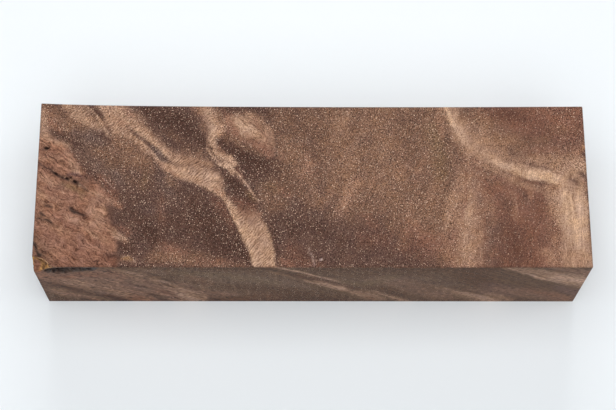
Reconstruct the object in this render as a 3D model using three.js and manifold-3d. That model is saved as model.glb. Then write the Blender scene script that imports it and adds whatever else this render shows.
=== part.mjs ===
// Stabilized walnut burl block: one sawn rectangular piece of wood, resting on its underside.
// Millimetres, +Z up. X runs along the block's length, the front face looks towards -Y and
// the burl end is at -X. The origin is at the middle of the underside.
import * as THREE from "three";
import { mergeVertices } from "three/addons/utils/BufferGeometryUtils.js";
import Module from "manifold-3d";

// Driving dimensions
const LENGTH = 140; // from the burl end to the plain end
const WIDTH = 44.4; // from the front face to the widest point of the back face
const HEIGHT = 30.2; // from the underside to the top face
const EDGE_EASE = 0.25; // the sawn edges are eased by this much
const CORNER_ROUND = 0.45; // radius of the four upright edges
const EDGE_STEPS = 2; // facets across an eased edge
const CORNER_STEPS = 4; // facets round an upright edge

// The saw left the back face slightly hollow along its length, and it flares out at the burl end.
const BACK_MIDDLE = 21.3; // distance of the back face from the middle at its hollowest
const BACK_HOLLOW_X = 8; // where along the length that is
const BACK_BOW = 0.27; // how far the plain end stands out from there
const BACK_BOW_RUN = 62; // over this length
const FLARE = 0.47; // more width at the burl end
const FLARE_RUN = 12; // the flare dies out over this length
const BACK_STEPS = 28; // facets along the back face

// The broken corner at the top, where the front face meets the burl end
const CHIP_ALONG_END = 2.9; // how far the break reaches along the end's top edge
const CHIP_ALONG_FRONT = 5.4; // along the front's top edge
const CHIP_DOWN = 3.9; // down the upright edge
const CHIP_RADIUS = 9; // the break is slightly hollow, with this radius
const CHIP_ROUGHNESS = 0.35; // its unevenness
const CHIP_DETAIL = 9; // facets across the surface that makes the break

// Cracks and pits. Each row is a point along the crack's middle and half its width there:
// [along the length, across, half width]. The walls lean in to a narrow bottom.
const LONG_CRACK = [
  [-69.4, 5.1, 0.08], [-68.0, 4.4, 0.2], [-66.5, 3.6, 0.26], [-65.2, 2.9, 0.38],
  [-64.0, 2.1, 0.28], [-62.8, 1.35, 0.22], [-61.9, 1.0, 0.45], [-61.1, 0.65, 0.28],
  [-60.4, 0.25, 0.45], [-59.6, -0.2, 0.2], [-58.0, -1.1, 0.14], [-56.7, -1.9, 0.05],
];
const LONG_CRACK_DEPTH = 1.4;
const SHORT_CRACK = [
  [-61.4, -6.8, 0.06], [-60.6, -7.2, 0.27], [-59.6, -7.6, 0.24], [-58.4, -8.2, 0.24],
  [-57.2, -8.9, 0.06],
];
const SHORT_CRACK_DEPTH = 1.2;
const HAIR_CRACK = [[-67.6, -5.9, 0.05], [-66.8, -6.2, 0.17], [-65.7, -6.6, 0.05]];
const HAIR_CRACK_DEPTH = 0.6;
const PINHOLE = [[-68.8, 9.5, 0.06], [-68.2, 9.4, 0.3], [-67.6, 9.3, 0.28], [-67.0, 9.2, 0.06]];
const PINHOLE_DEPTH = 1.0;
// The bark pocket opens in the front face just below its top edge. Its second number is the
// distance below the top face.
const BARK_POCKET = [
  [-67.1, 3.1, 0.1], [-66.0, 2.85, 0.8], [-64.0, 2.9, 1.75], [-62.0, 2.45, 1.65],
  [-60.0, 2.0, 1.2], [-58.0, 1.7, 0.95], [-56.2, 1.4, 0.55], [-55.2, 1.2, 0.08],
];
const BARK_POCKET_DEPTH = 1.6;
const BOTTOM_SHARE = 0.3; // width of a crack's bottom, as a share of its mouth
const ABOVE = 0.6; // a cutting shape stands this far out of the face

const wasm = await Module();
wasm.setup();

function solid(geometry) {
  const g = geometry.clone();
  g.deleteAttribute("normal");
  g.deleteAttribute("uv");
  const merged = mergeVertices(g, 1e-4);
  return new wasm.Manifold(
    new wasm.Mesh({
      numProp: 3,
      vertProperties: new Float32Array(merged.attributes.position.array),
      triVerts: new Uint32Array(merged.index.array),
    }),
  );
}

function geometryOf(manifold) {
  const m = manifold.getMesh();
  const positions = new Float32Array(m.numVert * 3);
  for (let i = 0; i < m.numVert; i++)
    positions.set(m.vertProperties.subarray(i * m.numProp, i * m.numProp + 3), i * 3);
  const g = new THREE.BufferGeometry();
  g.setAttribute("position", new THREE.BufferAttribute(positions, 3));
  g.setIndex(new THREE.BufferAttribute(m.triVerts, 1));
  const flat = g.toNonIndexed();
  flat.computeVertexNormals();
  return flat;
}

function backFace(x) {
  const bow = BACK_BOW * ((x - BACK_HOLLOW_X) / BACK_BOW_RUN) ** 2;
  return BACK_MIDDLE + bow + FLARE * Math.exp(-(x + LENGTH / 2) / FLARE_RUN);
}

// The block's outline seen from above, counter-clockwise, with rounded corners.
function outline() {
  const half = LENGTH / 2;
  const front = -WIDTH / 2;
  const r = CORNER_ROUND;
  const shape = new THREE.Shape();
  const points = [];
  const corner = (cx, cy, from) => {
    for (let i = 0; i <= CORNER_STEPS; i++) {
      const a = from + (Math.PI / 2) * (i / CORNER_STEPS);
      points.push(new THREE.Vector2(cx + r * Math.cos(a), cy + r * Math.sin(a)));
    }
  };
  corner(-half + r, front + r, Math.PI);
  corner(half - r, front + r, -Math.PI / 2);
  corner(half - r, backFace(half) - r, 0);
  for (let i = 1; i < BACK_STEPS; i++) {
    const x = half - r - (LENGTH - 2 * r) * (i / BACK_STEPS);
    points.push(new THREE.Vector2(x, backFace(x)));
  }
  corner(-half + r, WIDTH / 2 - r, Math.PI / 2);
  shape.setFromPoints(points);
  return shape;
}

function sawnBlock() {
  const g = new THREE.ExtrudeGeometry(outline(), {
    depth: HEIGHT - 2 * EDGE_EASE,
    bevelEnabled: true,
    bevelThickness: EDGE_EASE,
    bevelSize: EDGE_EASE,
    bevelOffset: -EDGE_EASE,
    bevelSegments: EDGE_STEPS,
    curveSegments: 1,
    steps: 1,
  });
  g.translate(0, 0, EDGE_EASE);
  return solid(g);
}

// A crack as a ribbon with leaning walls. place turns (along, across, depth) into a point.
function crack(rows, depth, place) {
  const rings = rows.map(([along, across, half], i) => {
    const a = rows[Math.max(0, i - 1)];
    const b = rows[Math.min(rows.length - 1, i + 1)];
    const run = new THREE.Vector2(b[0] - a[0], b[1] - a[1]).normalize();
    const side = new THREE.Vector2(-run.y, run.x);
    const at = (s, d) => place(along + side.x * s, across + side.y * s, d);
    const mouth = half * (1 + ((1 - BOTTOM_SHARE) * ABOVE) / depth);
    const bottom = half * BOTTOM_SHARE;
    return [at(-mouth, -ABOVE), at(mouth, -ABOVE), at(bottom, depth), at(-bottom, depth)];
  });
  const positions = rings.flat().flatMap((p) => p.toArray());
  const index = [];
  for (let i = 0; i + 1 < rings.length; i++)
    for (let j = 0; j < 4; j++) {
      const a = 4 * i + j;
      const b = 4 * i + ((j + 1) % 4);
      index.push(a, b, a + 4, b, b + 4, a + 4);
    }
  const last = 4 * (rings.length - 1);
  index.push(0, 2, 1, 0, 3, 2, last, last + 1, last + 2, last, last + 2, last + 3);
  const g = new THREE.BufferGeometry();
  g.setAttribute("position", new THREE.Float32BufferAttribute(positions, 3));
  g.setIndex(index);
  const made = solid(g);
  if (made.volume() > 0) return made;
  g.setIndex(index.map((v, i) => index[i % 3 === 1 ? i + 1 : i % 3 === 2 ? i - 1 : i]));
  return solid(g);
}

const onTop = (along, across, depth) => new THREE.Vector3(along, across, HEIGHT - depth);
const onFront = (along, below, depth) =>
  new THREE.Vector3(along, -WIDTH / 2 + depth, HEIGHT - below);

// The break is part of a large uneven sphere through three points on the corner's edges.
function brokenCorner() {
  const corner = new THREE.Vector3(-LENGTH / 2, -WIDTH / 2, HEIGHT);
  const onEnd = corner.clone().add(new THREE.Vector3(0, CHIP_ALONG_END, 0));
  const onFrontEdge = corner.clone().add(new THREE.Vector3(CHIP_ALONG_FRONT, 0, 0));
  const below = corner.clone().add(new THREE.Vector3(0, 0, -CHIP_DOWN));
  const middle = onEnd.clone().add(onFrontEdge).add(below).divideScalar(3);
  const outward = corner.clone().sub(middle);
  const plane = new THREE.Plane().setFromCoplanarPoints(onEnd, onFrontEdge, below);
  const normal = plane.normal.clone();
  if (normal.dot(outward) < 0) normal.negate();
  const reach =
    (middle.distanceTo(onEnd) + middle.distanceTo(onFrontEdge) + middle.distanceTo(below)) / 3;
  const away = Math.sqrt(CHIP_RADIUS ** 2 - reach ** 2);
  const g = new THREE.IcosahedronGeometry(CHIP_RADIUS, CHIP_DETAIL);
  g.deleteAttribute("normal");
  g.deleteAttribute("uv");
  const merged = mergeVertices(g, 1e-4);
  const p = merged.attributes.position;
  const v = new THREE.Vector3();
  for (let i = 0; i < p.count; i++) {
    v.fromBufferAttribute(p, i);
    const uneven = Math.sin(2.1 * v.x + 0.7 * v.z) * Math.sin(1.7 * v.y - 0.9 * v.z + 0.6);
    v.setLength(CHIP_RADIUS + CHIP_ROUGHNESS * uneven);
    p.setXYZ(i, v.x, v.y, v.z);
  }
  merged.translate(
    middle.x + normal.x * away,
    middle.y + normal.y * away,
    middle.z + normal.z * away,
  );
  return solid(merged);
}

let wood = sawnBlock();
for (const cut of [
  crack(LONG_CRACK, LONG_CRACK_DEPTH, onTop),
  crack(SHORT_CRACK, SHORT_CRACK_DEPTH, onTop),
  crack(HAIR_CRACK, HAIR_CRACK_DEPTH, onTop),
  crack(PINHOLE, PINHOLE_DEPTH, onTop),
  crack(BARK_POCKET, BARK_POCKET_DEPTH, onFront),
  brokenCorner(),
])
  wood = wood.subtract(cut);

const block = new THREE.Mesh(
  geometryOf(wood),
  new THREE.MeshStandardMaterial({ color: 0x6d4f40, roughness: 0.5, metalness: 0 }),
);
block.name = "block";

const part = new THREE.Group();
part.name = "walnut_burl_block";
part.add(block);

export default part;
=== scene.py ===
import math

import bpy
import numpy as np
from bpy.props import FloatProperty, FloatVectorProperty, IntProperty, PointerProperty
from bpy.types import Operator, Panel, PropertyGroup
from mathutils import Matrix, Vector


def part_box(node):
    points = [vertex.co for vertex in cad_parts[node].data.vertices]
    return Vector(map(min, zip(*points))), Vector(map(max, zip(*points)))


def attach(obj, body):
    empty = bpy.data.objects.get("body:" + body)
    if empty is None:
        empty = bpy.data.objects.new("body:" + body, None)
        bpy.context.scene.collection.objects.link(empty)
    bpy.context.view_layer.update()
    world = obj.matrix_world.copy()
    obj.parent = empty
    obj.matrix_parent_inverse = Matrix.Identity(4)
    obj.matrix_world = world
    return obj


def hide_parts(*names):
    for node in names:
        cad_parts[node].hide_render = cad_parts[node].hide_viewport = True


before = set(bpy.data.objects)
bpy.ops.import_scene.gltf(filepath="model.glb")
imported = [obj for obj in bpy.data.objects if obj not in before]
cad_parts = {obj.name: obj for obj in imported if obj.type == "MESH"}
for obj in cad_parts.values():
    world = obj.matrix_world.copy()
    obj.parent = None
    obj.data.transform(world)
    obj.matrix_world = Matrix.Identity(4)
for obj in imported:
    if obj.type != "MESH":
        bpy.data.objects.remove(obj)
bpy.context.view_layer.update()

bl_info = {
    "name": "Stabilized Walnut Burl Block",
    "version": (1, 0, 0),
    "blender": (4, 5, 0),
    "location": "3D View > Sidebar > Burl Block",
    "description": "A sawn block of stabilized walnut burl on a pale studio floor",
    "category": "Object",
}

MM = 0.001
TO_MM = 1000.0

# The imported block, in millimetres
BLOCK_LOW, BLOCK_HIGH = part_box("block")
LENGTH = (BLOCK_HIGH[0] - BLOCK_LOW[0]) * TO_MM
WIDTH = (BLOCK_HIGH[1] - BLOCK_LOW[1]) * TO_MM
HEIGHT = (BLOCK_HIGH[2] - BLOCK_LOW[2]) * TO_MM
HALF_LENGTH = LENGTH / 2
FRONT = -WIDTH / 2

# The back face, as the saw left it: hollow along its length, flaring at the burl end
BACK_MIDDLE = 21.3
BACK_HOLLOW_X = 8.0
BACK_BOW = 0.27
BACK_BOW_RUN = 62.0
FLARE = 0.47
FLARE_RUN = 12.0

# The broken corner, a shallow hollow through three points on the corner's edges
CHIP_ALONG_END = 2.9
CHIP_ALONG_FRONT = 5.4
CHIP_DOWN = 3.9
CHIP_RADIUS = 9.0

# The growth layers lean: this far along the length for each millimetre of depth
LAYER_LEAN = 1.1
# Streaks were laid out on a plan of the top face whose front edge is this much nearer
PLAN_SHIFT = 0.3

# Cracks and pits: points along the middle as (along, across, half width)
LONG_CRACK = [
    (-69.8, 5.8, 0.06), (-69.0, 5.3, 0.14), (-68.0, 4.5, 0.12), (-66.5, 3.7, 0.12),
    (-65.2, 2.7, 0.2), (-64.0, 2.2, 0.12), (-62.8, 1.5, 0.1), (-61.5, 0.9, 0.1),
    (-60.2, 0.3, 0.1), (-58.6, -0.7, 0.06), (-57.4, -1.5, 0.04),
]
SHORT_CRACK = [
    (-61.4, -6.2, 0.05), (-60.8, -6.6, 0.24), (-59.9, -7.2, 0.14), (-58.6, -8.1, 0.16),
    (-57.4, -8.8, 0.06),
]
HAIR_CRACK = [(-67.6, -5.4, 0.04), (-66.8, -5.7, 0.12), (-65.9, -6.0, 0.04)]
PINHOLES = [
    [(-68.3, 9.8, 0.2), (-67.8, 9.7, 0.3), (-67.4, 9.6, 0.1)],
    [(-65.4, 2.9, 0.2), (-65.0, 2.6, 0.2)],
    [(-62.5, 1.5, 0.2), (-62.2, 1.4, 0.22)],
    [(-61.5, 1.7, 0.12), (-61.3, 1.6, 0.12)],
    [(-60.5, 0.7, 0.24), (-60.1, 0.5, 0.26)],
]
TOP_CRACKS = [(LONG_CRACK, 0.3), (SHORT_CRACK, 0.4), (HAIR_CRACK, 0.25)]
TOP_CRACKS += [(hole, 0.8) for hole in PINHOLES]
# The bark pocket in the front face: (along, distance below the top face, half height)
BARK_POCKET = [
    (-67.1, 3.1, 0.1), (-66.0, 2.85, 0.8), (-64.0, 2.9, 1.75), (-62.0, 2.45, 1.65),
    (-60.0, 2.0, 1.2), (-58.0, 1.7, 0.95), (-56.2, 1.4, 0.55), (-55.2, 1.2, 0.08),
]
BARK_POCKET_DEPTH = 1.5


# Sizes and colours that a user would change

class BurlBlockShape(PropertyGroup):
    edge_ease: FloatProperty(
        name="Edge ease",
        description="Radius of the eased edges, in millimetres",
        default=0.28, min=0.05, max=2.0,
    )
    along: IntProperty(
        name="Cells along", description="Mesh cells along the length, an even number",
        default=400, min=40, max=420, step=2,
    )
    across: IntProperty(
        name="Cells across", description="Mesh cells across the width, an even number",
        default=134, min=20, max=140, step=2,
    )
    upward: IntProperty(
        name="Cells up", description="Mesh cells up the height, an even number",
        default=48, min=12, max=60, step=2,
    )
    crack_depth: FloatProperty(
        name="Crack depth", description="Scales the depth of cracks, pits and the bark pocket",
        default=1.0, min=0.0, max=2.0,
    )


def wood_colour(name, red, green, blue, words):
    """A colour setting given as display values from 0 to 255."""
    return FloatVectorProperty(
        name=name, description=words, subtype="COLOR_GAMMA", size=3, min=0.0, max=1.0,
        default=(red / 255, green / 255, blue / 255),
    )


class BurlBlockColours(PropertyGroup):
    ash: wood_colour("Ash", 74, 68, 66, "Weathered bark in the pocket")
    # The darkest colour: painted shade in cracks, pits and the bark pocket, and grime on the handled edges
    soot: wood_colour("Soot", 34, 24, 20, "Inside of cracks and the bark pocket")
    dusk: wood_colour("Dusk", 67, 41, 31, "Darkest heartwood")
    umber: wood_colour("Umber", 78, 52, 42, "Very dark heartwood")
    bark: wood_colour("Bark", 89, 63, 53, "Dark heartwood")
    slate: wood_colour("Slate", 97, 75, 67, "Greyish heartwood")
    plum: wood_colour("Plum", 94, 66, 62, "Purplish stains")
    brick: wood_colour("Brick", 107, 70, 55, "Dark reddish heartwood")
    walnut: wood_colour("Walnut", 113, 82, 64, "Brown heartwood")
    olive: wood_colour("Olive", 117, 90, 65, "Greenish brown")
    russet: wood_colour("Russet", 125, 85, 68, "Reddish heartwood")
    hazel: wood_colour("Hazel", 131, 97, 76, "Middle brown")
    sienna: wood_colour("Sienna", 145, 107, 86, "Warm brown")
    rose: wood_colour("Rose", 139, 99, 80, "Pinkish burl wood")
    fawn: wood_colour("Fawn", 157, 121, 98, "Tan")
    # The light colours, honey to ivory, are partly the pale wood's own colour and partly the shimmering
    # sheen of the pale layers, painted in
    honey: wood_colour("Honey", 172, 137, 113, "Light tan")
    cream: wood_colour("Cream", 187, 153, 128, "Light figure")
    peach: wood_colour("Peach", 201, 165, 135, "Very light figure")
    ivory: wood_colour("Ivory", 213, 177, 150, "Lightest figure")
    amber: wood_colour("Amber", 173, 129, 69, "Resin in the broken corner")
    dust: wood_colour("Dust", 206, 192, 185, "Scuffs and a speck of dust")
    # Front shades: copies of the named colours for the front face, partly its own wood and partly the light
    # and shade that face gets, painted in
    front_dusk: wood_colour("Front dusk", 75, 44, 28, "Darkest wood of the front face")
    front_dark: wood_colour("Front dark", 87, 56, 35, "Dark wood of the front face")
    front_umber: wood_colour("Front umber", 99, 71, 51, "Dull brown of the front face")
    front_plum: wood_colour("Front plum", 111, 81, 70, "Purplish grey of the front face")
    front_grey: wood_colour("Front grey", 114, 89, 74, "Greyish wood of the front face")
    front_olive: wood_colour("Front olive", 119, 96, 66, "Greenish brown of the front face")
    front_brown: wood_colour("Front brown", 133, 99, 81, "Brown wood of the front face")
    front_russet: wood_colour("Front russet", 135, 88, 63, "Reddish wood of the front face")
    front_tan: wood_colour("Front tan", 154, 119, 95, "Tan wood of the front face")
    front_pale: wood_colour("Front pale", 178, 143, 121, "Pale growth layers of the front face")
    front_cream: wood_colour("Front cream", 197, 159, 136, "Lightest growth layers of the front face")


class BurlBlockStage(PropertyGroup):
    floor_colour: FloatVectorProperty(
        name="Floor colour", description="Colour of the studio floor", subtype="COLOR",
        size=3, min=0.0, max=1.0, default=(0.84, 0.878, 0.905),
    )
    floor_size: FloatProperty(
        name="Floor size", description="Side of the square floor", default=6.0, min=1.0,
        unit="LENGTH",
    )
    overhead_power: FloatProperty(
        name="Overhead power", description="Power of the soft light straight above",
        default=5.0, min=0.0, unit="POWER",
    )
    front_power: FloatProperty(
        name="Front power", description="Power of the soft light above and in front",
        default=5.9, min=0.0, unit="POWER",
    )
    side_power: FloatProperty(
        name="Side power", description="Power of the soft light at each end",
        default=2.1, min=0.0, unit="POWER",
    )
    back_power: FloatProperty(
        name="Back power", description="Power of the low light behind",
        default=1.9, min=0.0, unit="POWER",
    )
    sky_strength: FloatProperty(
        name="Surround strength", description="Brightness of the even surrounding light",
        default=0.055, min=0.0,
    )
    lens: FloatProperty(
        name="Lens", description="Focal length on a 36 mm wide sensor, in millimetres",
        default=91.12, min=10.0,
    )


# Figure: streaks of colour laid over the plan of the top face

# A streak is a soft-edged band along a smooth line. Its row holds its colour, its strength, the
# width of its soft edges, and its points, each (along, across, half width) in millimetres with
# an optional strength from 0 to 1. Of two soft edges the first is the one on the left hand when
# going along the points, and a single number stands for both. Later streaks cover earlier ones.

GROUND_STREAKS = [
    # broad grounds, from the burl end to the plain end
    ("walnut", 0.8, 7.8, (-62, 24, 4), (-58, 13, 5), (-52, 7, 5), (-46, 5, 4)),
    ("umber", 0.8, 6.5, (-44, -8, 2), (-41, -12, 3), (-36, -12, 4), (-28, -9, 4), (-22, -14, 4)),
    ("dusk", 0.6, 3.9, (-42.5, -10, 1), (-41, -13, 1.6), (-39, -15, 1)),
    ("dusk", 0.6, 5.2, (-29, -5, 1.2), (-27, -10, 2.4), (-23, -16, 2.4), (-18, -18, 1.6)),
    ("umber", 0.85, 5.2, (-46, 22, 2), (-34, 17, 3.4), (-31, 12, 2)),
    ("dusk", 0.7, 3.9, (-43, 20.6, 1.2), (-38, 18.6, 1.6), (-34, 17.6, 1.6), (-32, 15, 1.2)),
    ("umber", 0.9, 5.2, (-24, 12.5, 1.6), (-14, 5.4, 3.4), (-9, 3.6, 2.4)),
    ("dusk", 0.65, 3.9, (-23.5, 11.8, 0.8), (-19, 8.6, 1.6), (-14.5, 6.4, 2), (-7, 3.2, 0.6)),
    ("umber", 0.85, 3.9, (-26, 22, 1), (-19, 21.6, 1.2), (-13, 20.4, 1.2), (-10, 19, 0.8)),
    ("walnut", 0.8, 6.5, (-8, 20, 3), (-5, 13, 4), (-6, 5, 3), (-9, -3, 4)),
    ("hazel", 0.6, 3.9, (-7, 12, 1.4), (-4.4, 9, 2), (-1, 1, 1.2)),
    ("umber", 0.7, 3.9, (-8.5, -9, 1.6), (-5, -11.5, 2), (0, -11, 1.8), (9, -16, 1)),
    ("brick", 0.6, 3.9, (-6, -17, 1.6), (-3, -20, 2.2), (1, -22, 1.6)),
    # quiet middle
    ("hazel", 0.85, 10.4, (5, 23, 5), (9, 2, 7), (10, -4, 5)),
    ("hazel", 0.75, 10.4, (18, 20, 6), (22, -2, 7), (26, -8, 6)),
    ("hazel", 0.75, 7.8, (30, 22, 3), (32, -6, 4), (33, -18, 3)),
    ("walnut", 0.7, 5.2, (-2, 22, 3), (3, 14, 2.4), (3, 9, 2)),
    ("walnut", 0.55, 5.2, (23, 20, 2), (26, 13, 2.6), (27, 8, 1.6)),
    ("olive", 0.6, 3.9, (31, 15, 1.6), (32.6, 9, 2), (33, 3, 1.6)),
    ("brick", 0.5, 5.2, (13, -14, 2), (28, -17, 3)),
    ("russet", 0.6, 5.2, (24, -12, 2), (29, -15, 2.6), (33, -16, 2)),
    ("walnut", 0.5, 3.9, (21, -11, 1.6), (23, -15, 1.6)),
    # plain end
    ("russet", 0.85, 7.8, (46, 20, 3), (54, 18, 5), (72, 18, 6)),
    ("brick", 0.7, 5.2, (45, 20.4, 1.6), (51, 19.4, 2.6), (57, 17, 2.4), (60, 13, 1.6)),
    ("dusk", 0.3, 3.9, (46, 19, 1), (51, 19.6, 1.4), (54, 18, 1)),
    ("hazel", 0.85, 6.5, (44, 15, 3), (49, 11, 3.4), (55, 8.4, 2.6), (62, 7, 2)),
    ("sienna", 0.8, 6.5, (41, 6, 3), (39.5, -12, 5), (39, -24, 5)),
    ("russet", 0.85, 6.5, (47, -1, 3), (54, -3, 5), (55, -12, 6), (54, -24, 7)),
    ("brick", 0.75, 5.2, (50, -9, 2.4), (51, -14, 4), (52, -24, 5)),
    ("dusk", 0.35, 3.9, (51, -12.6, 1.2), (51.2, -20, 1.4)),
    ("sienna", 0.7, 3.9, (61.4, 0, 2), (62, -14, 2.6), (61, -22, 3)),
]

# The pale bands of the top face are partly lighter wood and partly its shimmering sheen, painted in as
# lightness
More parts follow.
